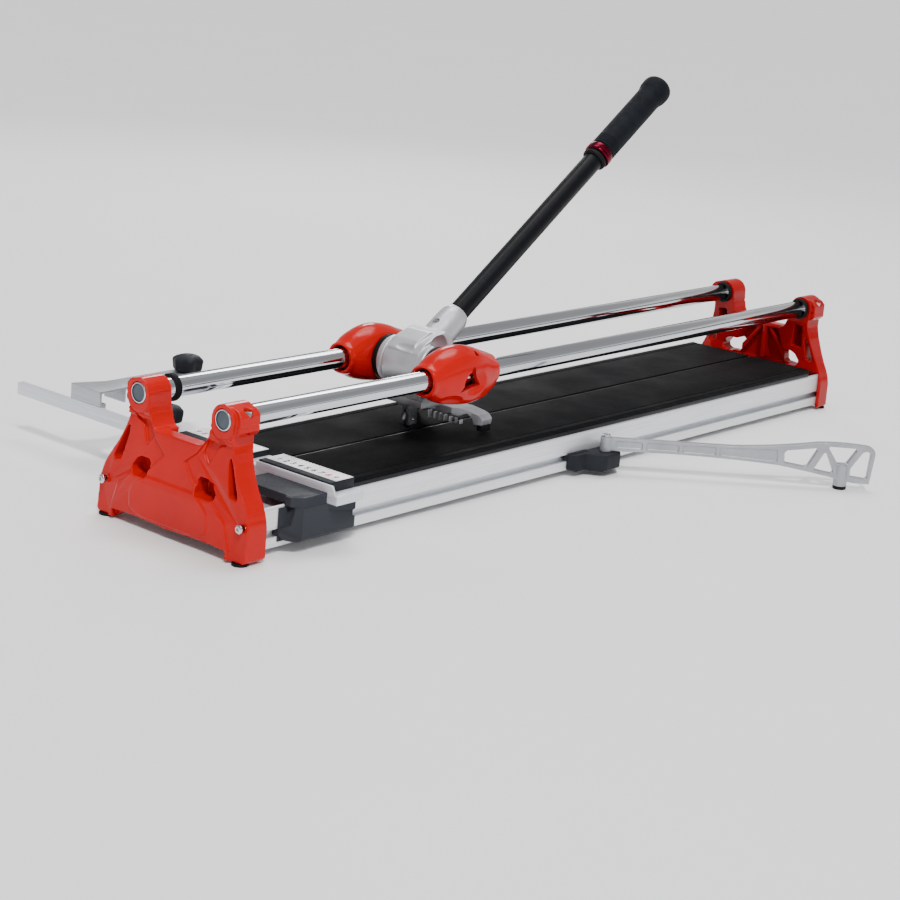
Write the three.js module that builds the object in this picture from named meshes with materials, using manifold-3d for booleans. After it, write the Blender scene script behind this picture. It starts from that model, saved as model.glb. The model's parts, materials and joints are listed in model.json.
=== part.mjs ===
// Manual tile cutter: two guide rods, a sliding carriage with a handle, a sprung bed, a front fence with a
// side stop, and a swing-out support arm. Millimetres, +X along the rods, +Y to the far side, +Z up.
import * as THREE from 'three';
import { mergeVertices } from 'three/addons/utils/BufferGeometryUtils.js';
import Module from 'manifold-3d';

const wasm = await Module();
wasm.setup();

// Driving dimensions
const GAP = 0.3;
const ROD_LENGTH = 1098;
const ROD_SPACING = 124;
const ROD_R = 11;
const ROD_BORE_R = 9.5;
const ROD_Z = 136.5;
const ROD_Y = ROD_SPACING / 2;
const PLUG_DEPTH = 9;

const BASE_HALF = 95.5;
const BASE_BOTTOM = 7.5;
const BASE_TOP = 49.5;
const BASE_END = 8.3;
const DECK_TOP = 40;
const RIB_TOP = 49.7;
const SLOT_LOW = 18;
const SLOT_HIGH = 26;

const BED_START = 108;
const BED_END = 1052;
const BOARD_HEIGHT = 4.7;
const RUBBER_HEIGHT = 4.5;
const RIDGE_HALF = 1.6;

const BOSS_DEPTH = 31;
const BOSS_R = 16;
const SCREW_Z = 38.2;
const CLAMP_X = 17;
const CLAMP_Y = 79;
const JAW_TOP = 141;

// The end frames. 'backed' closes the inner windows with a thin wall behind them.
const FRONT_WINDOW = [[80, 64], [90, 62], [91, 66], [81, 90], [76, 100], [73, 101], [73, 92]];
const REAR_WINDOW = [[74, 66], [82, 64], [84, 68], [77, 90], [73, 98], [71, 98], [71, 88]];
const ENDS = {
  front: {
    face: -10, reach: 110, screwY: 101.7, foot: [-1, 99], footR: 8.6, stemR: 4,
    backed: true, window: FRONT_WINDOW,
    bumper: { at: 40, wide: 7, radius: 14.6, on: ['far'] },
  },
  rear: {
    face: -2, reach: 101, screwY: 91, foot: [3, 95], footR: 4.9, stemR: 2.4,
    backed: false, window: REAR_WINDOW,
    bumper: { at: 31.3, wide: 6, radius: 13.8, on: ['near', 'far'] },
  },
};

const HUB_X = 345;
const HUB_Z = 137;
const HUB_R = 26.5;
const HUB_HALF = 33;
const COWL_INNER = 40;
const HANDLE_RISE = THREE.MathUtils.degToRad(35.3);
const HANDLE_TUBE_R = 11;
const HANDLE_START = 36;
const SOCKET_END = 86;
const SET_SCREW_AT = 53;
const LOCK_RING_AT = 376;
const GRIP_START = 388;
const HANDLE_LENGTH = 524;

const WHEEL_R = 11;
const WHEEL_Z = 73.5;
const BREAKER_PIVOT_X = 368;
const BREAKER_PIVOT_Z = 94;

const FENCE_X = 101;
const FENCE_BACK = 139.5;
const FENCE_NEAR = -126;
const FENCE_FOOT = [47.8, 57];
const RULER_NEAR = -112;
const FENCE_FAR = 384;
const FENCE_TOP = 66.5;
const SHEET = 2.5;
const STOP_Y = 239;
const STOP_LENGTH = 50;
const STOP_KNOB = [248, 261];
const FENCE_KNOB = [118, 148];

const ARM_PIVOT = [571, -112];
const ARM_TURN = THREE.MathUtils.degToRad(-47.5);
const ARM_LENGTH = 319;
const ARM_THICK = 9;
const ARM_FOOT_AT = 281;

// The origin is on the floor, under the middle of the object.
const ORIGIN = [545, 14, 0];

const RED = [0xd0201c, 0.32, 0];
const ALUMINIUM = [0xc4c8cd, 0.4, 0.9];
const CAST = [0xb9bcc2, 0.5, 0.7];
const CHROME = [0xd8dce0, 0.12, 1];
const STEEL = [0xaeb2b6, 0.35, 0.9];
const BLACK = [0x17191c, 0.6, 0];
const RUBBER = [0x101214, 0.85, 0];
const GREY = [0x5d6773, 0.6, 0];
const WINE = [0x5c0a1c, 0.3, 0.8];

const object = new THREE.Group();
object.position.set(-ORIGIN[0], -ORIGIN[1], -ORIGIN[2]);

// Helpers: every shape becomes a solid, is cut or joined, and turns back into a geometry.
function solid(geometry) {
  const bare = geometry.clone();
  bare.deleteAttribute('normal');
  bare.deleteAttribute('uv');
  const merged = mergeVertices(bare, 1e-4);
  const triVerts = [];
  const index = merged.index.array;
  for (let i = 0; i < index.length; i += 3) {
    const [a, b, c] = [index[i], index[i + 1], index[i + 2]];
    if (a !== b && b !== c && c !== a) triVerts.push(a, b, c);
  }
  return new wasm.Manifold(new wasm.Mesh({
    numProp: 3,
    vertProperties: Float32Array.from(merged.attributes.position.array),
    triVerts: Uint32Array.from(triVerts),
  }));
}

function geometryOf(body) {
  const mesh = body.getMesh();
  const geometry = new THREE.BufferGeometry();
  geometry.setAttribute('position', new THREE.BufferAttribute(Float32Array.from(mesh.vertProperties), 3));
  geometry.setIndex(new THREE.BufferAttribute(Uint32Array.from(mesh.triVerts), 1));
  geometry.computeVertexNormals();
  return geometry;
}

function add(parent, name, body, [color, roughness, metalness]) {
  const material = new THREE.MeshStandardMaterial({ color, roughness, metalness });
  const mesh = new THREE.Mesh(geometryOf(body), material);
  mesh.name = name;
  parent.add(mesh);
  return mesh;
}

function union(...bodies) {
  return bodies.reduce((sum, body) => sum.add(body));
}

function outlineOf(points) {
  if (points instanceof THREE.Shape) return points;
  return new THREE.Shape(points.map(([a, b]) => new THREE.Vector2(a, b)));
}

function extrude(points, depth, curveSegments = 8) {
  return new THREE.ExtrudeGeometry(outlineOf(points), { depth, bevelEnabled: false, curveSegments });
}

const AXIS = {
  x: new THREE.Vector3(1, 0, 0),
  y: new THREE.Vector3(0, 1, 0),
  z: new THREE.Vector3(0, 0, 1),
};

// An outline in Y and Z, run from x0 to x1.
function alongX(points, x0, x1) {
  const turn = new THREE.Matrix4().makeBasis(AXIS.y, AXIS.z, AXIS.x);
  return solid(extrude(points, x1 - x0).applyMatrix4(turn).translate(x0, 0, 0));
}

// An outline in X and Z, run from y0 to y1.
function alongY(points, y0, y1) {
  const turn = new THREE.Matrix4().makeBasis(AXIS.x, AXIS.z, AXIS.y.clone().negate());
  return solid(extrude(points, y1 - y0).applyMatrix4(turn).translate(0, y1, 0));
}

// An outline in X and Y, run from z0 to z1.
function alongZ(points, z0, z1) {
  return solid(extrude(points, z1 - z0).translate(0, 0, z0));
}

function box(x0, x1, y0, y1, z0, z1) {
  const geometry = new THREE.BoxGeometry(x1 - x0, y1 - y0, z1 - z0);
  return solid(geometry.translate((x0 + x1) / 2, (y0 + y1) / 2, (z0 + z1) / 2));
}

// A round bar between two points on one axis.
function rod(axis, radius, from, to, [a, b], sides = 24, radiusTo = radius) {
  const geometry = new THREE.CylinderGeometry(radiusTo, radius, to - from, sides);
  const middle = (from + to) / 2;
  if (axis === 'x') geometry.rotateZ(-Math.PI / 2).translate(middle, a, b);
  if (axis === 'y') geometry.translate(a, middle, b);
  if (axis === 'z') geometry.rotateX(Math.PI / 2).translate(a, b, middle);
  return solid(geometry);
}

function tube(axis, outer, inner, from, to, centre, sides = 24) {
  const bore = rod(axis, inner, from - 1, to + 1, centre, sides);
  return rod(axis, outer, from, to, centre, sides).subtract(bore);
}

// A turned solid on the +X axis: the profile lists distance along the axis and radius.
function turned(profile, sides = 24) {
  const points = profile.map(([along, radius]) => new THREE.Vector2(radius, along));
  return solid(new THREE.LatheGeometry(points, sides).rotateZ(-Math.PI / 2));
}

function mirrorPoints(points) {
  return points.map(([a, b]) => [-a, b]).reverse();
}

const sides = [['near', -1], ['far', 1]];

// End frames. The rear frame faces the other way, and is flatter and narrower at its feet.
function legOutline(reach) {
  const shape = new THREE.Shape();
  shape.moveTo(0, 9.5);
  shape.lineTo(52, 9.5);
  shape.lineTo(76, 8);
  shape.lineTo(84, 3);
  shape.lineTo(reach - 3, 3);
  shape.lineTo(reach, 6);
  shape.lineTo(reach, 36);
  shape.quadraticCurveTo(reach - 1, 48, reach - 9, 62);
  shape.quadraticCurveTo(80, 88, 76, 112);
  shape.quadraticCurveTo(75, 124, ROD_Y + BOSS_R, ROD_Z);
  shape.absarc(ROD_Y, ROD_Z, BOSS_R, 0, Math.PI, false);
  shape.quadraticCurveTo(46, 116, 36, 106);
  shape.lineTo(30, 104);
  shape.lineTo(0, 104);
  return shape.getPoints(6).map((point) => [point.x, point.y]);
}

const INNER_WINDOW = [[37, 55], [56, 54], [61, 57], [62, 62], [56, 71], [49, 74], [38, 74], [35, 71],
  [35, 58]];
const UPPER_JAW = [[60, 122], [79, 122], [84, 127], [84, 143], [79, 148], [66, 152], [60, 152]];
const RIB = [[4.2, 97.4], [8.8, 98.8], [44.8, 53.8], [39.2, 50.6]];
const WINDOW_BACK = [[33, 53], [65, 53], [65, 75], [33, 75]];
const TOWER_POCKET = [[50, 82], [66, 82], [68, 112], [56, 114]];

function endFrame({ face, reach, screwY, foot: [footX, footY], stemR, backed, window }) {
  const half = legOutline(reach);
  const whole = [...half, ...mirrorPoints(half).slice(1, -1)];
  const sideProfile = [[face, 2], [face, 50], [0, 112], [0, 154], [BOSS_DEPTH, 154], [BOSS_DEPTH, 116],
    [22, 64], [22, 2]];
  let frame = alongX(whole, face, BOSS_DEPTH).intersect(alongY(sideProfile, -120, 120));
  // The web between the legs is hollowed from behind, and its saddle is thinner still.
  frame = frame.subtract(alongX([[-47, 51], [-36, 78], [-30, 98], [30, 98], [36, 78], [47, 51]], 4, 40));
  frame = frame.subtract(alongX([[-30, 97], [30, 97], [30, 110], [-30, 110]], 16, 40));
  // Pocket for the base extrusion, open underneath.
  const pocket = BASE_HALF + 0.5;
  frame = frame.subtract(box(BASE_END - GAP, 40, -pocket, pocket, 0, BASE_TOP + 0.8));
  frame = frame.subtract(box(face + 7, 40, -74, 74, 0, 30));
  frame = frame.add(alongX([[-3, 54], [3, 54], [3, 98], [-3, 98]], 3, 16));
  for (const [, side] of sides) {
    const flip = (points) => (side > 0 ? points : mirrorPoints(points));
    frame = frame.add(alongX(flip(RIB), 3, 14));
    for (const hole of [window, INNER_WINDOW]) frame = frame.subtract(alongX(flip(hole), -20, 40));
    if (backed) frame = frame.add(alongX(flip(WINDOW_BACK), 17, 20));
    frame = frame.subtract(alongX(flip(TOWER_POCKET), 8, 40));
    frame = frame.add(alongX(flip(UPPER_JAW), 4, BOSS_DEPTH - 1));
    const y = side * ROD_Y;
    frame = frame.subtract(rod('x', ROD_R + 0.5, -20, 60, [y, ROD_Z], 32));
    // The boss is split beside the rod, and a bolt closes the split.
    const [slotFrom, slotTo] = side > 0 ? [y + 8, y + 25] : [y - 25, y - 8];
    frame = frame.subtract(box(1, 40, slotFrom, slotTo, 131.8, 133.4));
    frame = frame.subtract(rod('z', 2.9, 124, 160, [CLAMP_X, side * CLAMP_Y], 12));
    frame = frame.subtract(rod('z', 4.6, JAW_TOP, 160, [CLAMP_X, side * CLAMP_Y], 16));
    frame = frame.subtract(rod('x', 5.6, -20, face + 3, [side * screwY, SCREW_Z], 20));
    frame = frame.subtract(rod('x', 3.2, -20, 14, [side * screwY, SCREW_Z], 12));
    frame = frame.subtract(rod('z', stemR + 0.3, 0, 9, [footX, side * footY], 12));
  }
  return frame;
}

// A Torx-style socket: six flutes cut into a screw head that faces -X.
function screwSocket(x, depth, radius, [y, z]) {
  const star = [];
  for (let i = 0; i < 12; i += 1) {
    const reach = i % 2 ? radius : radius * 0.7;
    star.push([y + reach * Math.cos(i * Math.PI / 6), z + reach * Math.sin(i * Math.PI / 6)]);
  }
  return alongX(star, x - 1, x + depth);
}

function frameScrew({ face, screwY }, side) {
  const centre = [side * screwY, SCREW_Z];
  const head = turned([[0, 0], [0, 3.2], [1.2, 4.8], [2.7, 4.8], [2.7, 0]], 16)
    .translate([face, centre[0], centre[1]]);
  const shank = rod('x', 2.6, face + 2.6, 7.5, centre, 12);
  return head.add(shank).subtract(screwSocket(face, 2, 2.3, centre));
}

function clampBolt(side) {
  const centre = [CLAMP_X, side * CLAMP_Y];
  const head = rod('z', 4.2, JAW_TOP + GAP, JAW_TOP + 5.3, centre, 16);
  const socket = rod('z', 2.2, JAW_TOP + 2.5, JAW_TOP + 6, centre, 6);
  return union(head.subtract(socket), rod('z', 2.5, 126, JAW_TOP + 0.5, centre, 12));
}

function foot({ foot: [x, y], footR, stemR }, side) {
  const centre = [x, side * y];
  return union(rod('z', footR, 0, 2.7, centre, 20), rod('z', stemR, 2, 8.5, centre, 12));
}

function bumper({ at, wide, radius }, side) {
  const profile = [[0, 11.8], [0, radius - 1], [1, radius], [wide - 1, radius], [wide, radius - 1],
    [wide, 11.8], [0, 11.8]];
  return turned(profile, 22).translate([at, side * ROD_Y, ROD_Z]);
}

function endPlug(side) {
  return turned([[0, 0], [0, 9], [PLUG_DEPTH, 9], [PLUG_DEPTH, 0]], 24)
    .translate([0.3, side * ROD_Y, ROD_Z]);
}

for (const [end, shape] of Object.entries(ENDS)) {
  const group = new THREE.Group();
  const isRear = end === 'rear';
  group.position.set(isRear ? ROD_LENGTH : 0, 0, 0);
  group.rotation.z = isRear ? Math.PI : 0;
  object.add(group);
  add(group, `${end}_frame`, endFrame(shape), RED);
  for (const [name, side] of sides) {
    // The turned rear group swaps near and far.
    const local = isRear ? -side : side;
    add(group, `${end}_frame_screw_${name}`, frameScrew(shape, local), STEEL);
    add(group, `${end}_foot_${name}`, foot(shape, local), RUBBER);
    if (shape.bumper.on.includes(name)) {
      add(group, `${end}_bumper_${name}`, bumper(shape.bumper, local), RUBBER);
    }
  }
}

for (const [name, side] of sides) {
  const bar = tube('x', ROD_R, ROD_BORE_R, 0, ROD_LENGTH, [side * ROD_Y, ROD_Z], 32);
  add(object, `guide_rod_${name}`, bar, CHROME);
  add(object, `rod_plug_${name}`, endPlug(side), GREY);
  add(object, `clamp_bolt_${name}`, clampBolt(side), STEEL);
}

// Base: an extruded channel with a slot along each side and a rib under the breaking ridge.
function baseOutline() {
  const half = [
    [3, 36], [84, 36], [84, BASE_BOTTOM], [BASE_HALF, BASE_BOTTOM],
    [BASE_HALF, SLOT_LOW], [93, SLOT_LOW], [93, SLOT_LOW - 3], [88, SLOT_LOW - 3],
    [88, SLOT_HIGH + 3], [93, SLOT_HIGH + 3], [93, SLOT_HIGH], [BASE_HALF, SLOT_HIGH],
    [BASE_HALF, BASE_TOP - 1.5], [BASE_HALF - 1.5, BASE_TOP], [92, BASE_TOP],
    [92, DECK_TOP], [2, DECK_TOP], [2, RIB_TOP],
  ];
  return [...half, ...mirrorPoints(half)];
}

add(object, 'base_extrusion', alongX(baseOutline(), BASE_END, ROD_LENGTH - BASE_END), ALUMINIUM);
const ridgeFoot = RIB_TOP + GAP;
const ridge = [[-RIDGE_HALF, ridgeFoot], [RIDGE_HALF, ridgeFoot], [RIDGE_HALF, 58], [0, 59],
  [-RIDGE_HALF, 58]];
add(object, 'breaking_ridge', alongX(ridge, BED_START, BED_END), STEEL);

// Sprung bed boards: each is hinged at its outer edge and held up by springs near the ridge.
const BOARD_Z = BASE_TOP + GAP;
const RUBBER_Z = BOARD_Z + BOARD_HEIGHT + GAP;
const SPRING_X = [300, 860];
const SPRING_Y = 16;

class Coil extends THREE.Curve {
  constructor(x, y, z0, z1, radius, turns) {
    super();
    Object.assign(this, { x, y, z0, z1, radius, turns });
  }

  getPoint(t, target = new THREE.Vector3()) {
    const angle = t * this.turns * 2 * Math.PI;
    const z = THREE.MathUtils.lerp(this.z0, this.z1, t);
    return target.set(this.x + this.radius * Math.cos(angle), this.y + this.radius * Math.sin(angle), z);
  }
}

function spring(x, y) {
  const wire = 0.8;
  const section = new THREE.Shape();
  section.absarc(0, 0, wire, 0, 2 * Math.PI, false);
  const path = new Coil(x, y, DECK_TOP + 2 * wire, BOARD_Z - 2 * wire, 5, 2.5);
  return solid(new THREE.ExtrudeGeometry(section, { steps: 20, extrudePath: path, curveSegments: 3 }));
}

for (const [name, side] of sides) {
  const [y0, y1] = side > 0 ? [2.4, 94.8] : [-94.8, -2.4];
  add(object, `bed_board_${name}`, box(BED_START, BED_END, y0, y1, BOARD_Z, BOARD_Z + BOARD_HEIGHT), BLACK);
  const top = box(BED_START, BED_END, y0, y1, RUBBER_Z, RUBBER_Z + RUBBER_HEIGHT);
  add(object, `bed_rubber_${name}`, top, RUBBER);
  SPRING_X.forEach((x, i) => add(object, `bed_spring_${name}_${i + 1}`, spring(x, side * SPRING_Y), STEEL));
}

// Carriage cowls: a bean round each rod, cut flat on the inside, with a slanted mouth at the front.
function spline(points) {
  const curve = new THREE.SplineCurve(points.map(([a, b]) => new THREE.Vector2(a, b)));
  const samples = curve.getPoints(40);
  return (x) => {
    const after = Math.max(1, samples.findIndex((point) => point.x >= x));
    const [low, high] = [samples[after - 1], samples[after]];
    return THREE.MathUtils.mapLinear(x, low.x, high.x, low.y, high.y);
  };
}

const COWL_START = 291;
const COWL_TAIL = 402;
const cowlTop = spline([[280, 147], [291, 151], [310, 164], [335, 171.5], [360, 169], [384, 161],
  [402, 154.5], [412, 150]]);
const cowlBottom = spline([[280, 122], [291, 120.5], [310, 111], [335, 105], [362, 102.5], [382, 106],
  [402, 117.5], [412, 122]]);
const cowlWidth = spline([[280, 16], [291, 17.5], [312, 22], [338, 24.8], [362, 24.5], [385, 20.5],
  [402, 17.2], [412, 15]]);
const COWL_WINDOW = [[334, 126], [362, 129], [347, 148]];

function cowl(side) {
  const rings = 12;
  const geometry = new THREE.CylinderGeometry(1, 1, 1, 20, rings);
  const position = geometry.attributes.position;
  for (let i = 0; i < position.count; i += 1) {
    const x = THREE.MathUtils.lerp(COWL_START, COWL_TAIL, 0.5 - position.getY(i));
    const middle = (cowlTop(x) + cowlBottom(x)) / 2;
    const tall = (cowlTop(x) - cowlBottom(x)) / 2;
    const y = side * ROD_Y - cowlWidth(x) * position.getZ(i);
    position.setXYZ(i, x, y, middle + tall * position.getX(i));
  }
  let shell = solid(geometry);
  const [inner, outer] = side > 0 ? [COWL_INNER, 120] : [-120, -COWL_INNER];
  shell = shell.intersect(box(200, 500, inner, outer, 0, 300));
  shell = shell.subtract(rod('x', 14.5, 200, 500, [side * ROD_Y, ROD_Z], 28));
  // Triangular window in the outer flank, open to the rod bore.
  const [from, to] = side > 0 ? [ROD_Y + 4, 120] : [-120, -ROD_Y - 4];
  shell = shell.subtract(alongY(COWL_WINDOW, from, to));
  return shell.subtract(rod('y', 6.4, side > 0 ? 30 : -46, side > 0 ? 46 : -30, [HUB_X, HUB_Z], 16));
}

for (const [name, side] of sides) {
  add(object, `carriage_cowl_${name}`, cowl(side), RED);
  const bush = tube('x', 14.1, 11.45, 304, 399, [side * ROD_Y, ROD_Z], 28);
  const flat = side > 0 ? [ROD_Y + 4, 100] : [-100, -ROD_Y - 4];
  add(object, `rod_bushing_${name}`, bush.subtract(box(332, 364, ...flat, 100, 170)), CAST);
  const [s0, s1] = side > 0 ? [HUB_HALF + GAP, COWL_INNER - GAP] : [GAP - COWL_INNER, -GAP - HUB_HALF];
  add(object, `hub_seal_${name}`, tube('y', 27.3, 7, s0, s1, [HUB_X, HUB_Z], 28), RUBBER);
}
add(object, 'handle_axle', rod('y', 6, -45, 45, [HUB_X, HUB_Z], 16), STEEL);

// Bridge that ties the cowls together under the hub, and holds the scoring wheel and the breaker.
function bridge() {
  const reach = COWL_INNER - GAP;
  let body = box(318, 358, -reach, reach, 97, 105);
  for (const [, side] of sides) {
    const [riser0, riser1] = side > 0 ? [34, reach] : [-reach, -34];
    body = body.add(box(320, 356, riser0, riser1, 100, 108.5));
    const [y0, y1] = side > 0 ? [9.6, 15] : [-15, -9.6];
    const lug = [[350, 98], [350, 90], [364, 88], [374, 88], [374, 100], [357, 104]];
    body = body.add(alongY(lug, y0, y1));
  }
  return body.subtract(rod('y', 2.9, -20, 20, [BREAKER_PIVOT_X, BREAKER_PIVOT_Z], 12));
}

function wheelFork() {
  const post = union(box(338, 352, -6, 6, 68, 97.5), box(334, 356, -8, 8, 88, 97.5));
  const slot = box(330, 360, -1.9, 1.9, 60, 86);
  return post.subtract(slot).subtract(rod('y', 1.9, -10, 10, [HUB_X, WHEEL_Z], 12));
}

function scoringWheel() {
  const bevel = 2.5;
  const half = 1.4;
  const bore = 2.2;
  const profile = [[-half, bore], [-half, WHEEL_R - bevel], [0, WHEEL_R], [half, WHEEL_R - bevel],
    [half, bore], [-half, bore]];
  const disc = turned(profile, 24);
  return disc.rotate([0, 0, 90]).translate([HUB_X, 0, WHEEL_Z]);
}

// Breaker: a swept wing with a toothed underside and a rubber pad at each tip.
function breaker() {
  const teeth = [];
  for (let i = 0; i <= 12; i += 1) {
    teeth.push([-42 + i * 7, i % 2 ? 76.5 : 81]);
  }
  const section = [[-57.5, 69], [-49, 69], [-47, 76], ...teeth, [47, 76], [49, 69], [57.5, 69], [58.5, 76],
    [54, 81], [36, 87], [12, 90], [-12, 90], [-36, 87], [-54, 81], [-58.5, 76]];
  const wing = [[376, -10], [382, -30], [398, -46], [405, -60], [421, -60], [420, -48], [410, -28],
    [398, -10], [398, 10], [410, 28], [420, 48], [421, 60], [405, 60], [398, 46], [382, 30], [376, 10]];
  const lug = [[361, 88], [366, 84], [380, 80], [390, 82], [390, 90], [378, 94], [374, 99], [368, 101],
    [362, 99], [361, 94]];
  let body = alongX(section, 340, 430).intersect(alongZ(wing, 60, 100));
  for (const [y0, y1] of [[-15.4, -9.2], [9.2, 15.4]]) body = body.subtract(box(355, 378, y0, y1, 84, 100));
  body = body.add(alongY(lug, -9.2, 9.2));
  return body.subtract(rod('y', 2.9, -20, 20, [BREAKER_PIVOT_X, BREAKER_PIVOT_Z], 12));
}

add(object, 'carriage_bridge', bridge().add(wheelFork()), CAST);
add(object, 'wheel_pin', rod('y', 1.6, -7, 7, [HUB_X, WHEEL_Z], 12), STEEL);
add(object, 'scoring_wheel', scoringWheel(), STEEL);
add(object, 'breaker_pin', rod('y', 2.5, -16, 16, [BREAKER_PIVOT_X, BREAKER_PIVOT_Z], 12), STEEL);
add(object, 'breaker', breaker(), CAST);
for (const [name, side] of sides) {
  const [y0, y1] = side > 0 ? [49.5, 57.5] : [-57.5, -49.5];
  add(object, `breaker_pad_${name}`, box(405, 420.5, y0, y1, 61.5, 68.7), RUBBER);
}

// Handle: a yoke that turns on the axle, and a tube with a lock ring and a grip. The tube's axis is +X
// before the group is tilted.
const handle = new THREE.Group();
handle.position.set(HUB_X, 0, HUB_Z);
handle.rotation.y = -HANDLE_RISE;
object.add(handle);

function yoke() {
  const hub = rod('y', HUB_R, -HUB_HALF, HUB_HALF, [0, 0], 32);
  const shoulder = alongY([[0, -22], [40, -17], [44, 17], [20, 25.5], [0, 26]], -20, 25);
  const socket = turned([[20, 0], [20, 14], [34, 17.5], [57, 17], [72, 16], [82, 13.6], [SOCKET_END, 12.8],
    [SOCKET_END, 0]], 24);
  let body = union(hub, shoulder, socket);
  body = body.subtract(rod('x', HANDLE_TUBE_R + 0.3, HANDLE_START - 1, 200, [0, 0], 24));
  body = body.subtract(rod('y', 6.4, -60, 60, [0, 0], 16));
  return body.subtract(rod('z', 3.4, 0, 40, [SET_SCREW_AT, 0], 12));
}

function grip() {
  const start = GRIP_START;
  return turned([[start, 11.4], [start, 15], [start + 3, 15.6], [HANDLE_LENGTH - 24, 15.6],
    [HANDLE_LENGTH - 18, 17.6], [HANDLE_LENGTH - 6, 17.6], [HANDLE_LENGTH - 1.5, 13], [HANDLE_LENGTH, 0],
    [HANDLE_LENGTH - 4, 0], [HANDLE_LENGTH - 4, 11.4], [start, 11.4]], 22);
}

const setScrew = rod('z', 3, 12, 17.6, [SET_SCREW_AT, 0], 12);
const setScrewSocket = rod('z', 1.8, 15.5, 19, [SET_SCREW_AT, 0], 6);
add(handle, 'handle_yoke', yoke(), CAST);
add(handle, 'handle_set_screw', setScrew.subtract(setScrewSocket), STEEL);
add(handle, 'handle_tube', tube('x', HANDLE_TUBE_R, 9, HANDLE_START, HANDLE_LENGTH - 4.4, [0, 0], 28), BLACK);
const lockRing = turned([[0, 11.4], [0, 15], [2, 17], [9.5, 17], [11.5, 15], [11.5, 11.4], [0, 11.4]], 22);
add(handle, 'handle_lock_ring', lockRing.translate([LOCK_RING_AT, 0, 0]), WINE);
add(handle, 'handle_grip', grip(), RUBBER);

// Fence: a bar across the front of the bed, with a ruler each side of the middle.
function fenceBar() {
  const [footLow, footHigh] = FENCE_FOOT;
  const flange = [[FENCE_NEAR, footLow], [-97, footLow], [-97, 50], [FENCE_FAR, 50],
    [FENCE_FAR, FENCE_TOP - 3], [FENCE_FAR - 8, FENCE_TOP], [9, FENCE_TOP], [9, 61.6], [-9, 61.6],
    [-9, FENCE_TOP], [-118, FENCE_TOP], [-123, footHigh], [FENCE_NEAR, footHigh]];
  const plate = [[FENCE_X + 1, RULER_NEAR + 3.3], [FENCE_BACK, RULER_NEAR + 3.3], [FENCE_BACK, 170],
    [FENCE_X + 12, 178], [FENCE_X + 12, FENCE_FAR - 6], [FENCE_X + 1, FENCE_FAR - 6]];
  const bar = alongX(flange, FENCE_X, FENCE_X + SHEET).add(alongZ(plate, 59.6, 61.6));
  const nearFoot = box(FENCE_X + 1, FENCE_BACK, FENCE_NEAR, -97, footLow, footHigh);
  const farFoot = box(FENCE_X + 1, FENCE_BACK, 97, 126, footLow, footHigh);
  const nearWall = box(FENCE_BACK - 4, FENCE_BACK, RULER_NEAR + 3.3, -97, 50, 60);
  const farWall = box(FENCE_BACK - 4, FENCE_BACK, 97, 112, 50, 60);
  const join = union(bar, nearFoot, farFoot, nearWall, farWall);
  return join.subtract(rod('z', 4.4, 55, 70, FENCE_KNOB, 16));
}

add(object, 'fence_bar', fenceBar(), ALUMINIUM);
const endCap = box(FENCE_X + 3, FENCE_BACK, RULER_NEAR, RULER_NEAR + 3, 57.4, 68);
const nearRuler = box(FENCE_X + 3, FENCE_BACK, RULER_NEAR, -10, 61.9, 68).add(endCap);
add(object, 'fence_ruler_near', nearRuler, BLACK);
add(object, 'fence_ruler_far', box(FENCE_X + 3, FENCE_BACK, 10, 112, 61.9, 68), BLACK);

// End block that grips the base's side slot under the near end of the fence, with a bar along its front.
const blockOutline = [[-96, 18.8], [-89, 18.8], [-89, 25.2], [-96, 25.2], [-96, 47.5], [-113, 47.5],
  [-113, 16], [-110, 13], [-96, 13]];
const blockPlan = [[50, -88], [50, -98], [68, -113], [143, -113], [143, -88]];
const blockBody = alongX(blockOutline, 50, 143).intersect(alongZ(blockPlan, 0, 60));
const upperPlan = [[58, -96], [58, -104], [68, -112.5], [100.6, -112.5], [100.6, -96]];
const frontBar = box(62, 100.6, -97, -28, 50, 58.6);
add(object, 'fence_block', union(blockBody, alongZ(upperPlan, 40, 58.6), frontBar), BLACK);

// A hand knob with rounded lobes, on a stem with a flange.
function lobedKnob([x, y], stemFrom, flangeFrom, bottom, lobes = 6) {
  const outline = [];
  for (let i = 0; i < lobes * 4; i += 1) {
    const angle = i * 2 * Math.PI / (lobes * 4);
    const reach = 17.2 + 1.4 * Math.cos(lobes * angle);
    outline.push([x + reach * Math.cos(angle), y + reach * Math.sin(angle)]);
  }
  const dome = turned([[-40, 0], [-40, 18.8], [13, 18.8], [16, 16], [18.5, 9], [19, 0]], 24)
    .rotate([0, -90, 0]).translate([x, y, bottom]);
  const stem = rod('z', 3.6, stemFrom, bottom + 1, [x, y], 12);
  const flange = rod('z', 9, flangeFrom, bottom + 1, [x, y], 20);
  return union(alongZ(outline, bottom, bottom + 19).intersect(dome), stem, flange);
}

const STOP_PLATE = 81.5;
function sideStop() {
  const [y0, y1] = [STOP_Y, STOP_Y + STOP_LENGTH];
  const top = [[FENCE_X, y0], [258, y0 + 8], [264, y0 + 14], [264, y0 + 32], [258, y0 + 38],
    [FENCE_BACK, y0 + 36], [FENCE_X, y1]];
  const front = box(FENCE_X, FENCE_X + SHEET, y0, y1, FENCE_TOP + 0.4, STOP_PLATE + 0.5);
  const back = box(FENCE_BACK - SHEET, FENCE_BACK, y0 + 2, y0 + 36, FENCE_TOP + 0.4, STOP_PLATE + 0.5);
  const shoe = union(
    box(FENCE_X + SHEET + 0.4, FENCE_X + 12, y0 + 4, y1 - 4, 61.9, FENCE_TOP + 2),
    box(FENCE_X, FENCE_X + 12, y0 + 4, y1 - 4, FENCE_TOP + 0.4, FENCE_TOP + 2),
  );
  const body = union(alongZ(top, STOP_PLATE, STOP_PLATE + SHEET), front, back, shoe);
  return body.subtract(rod('z', 4.2, 70, 90, STOP_KNOB, 16));
}

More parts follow.
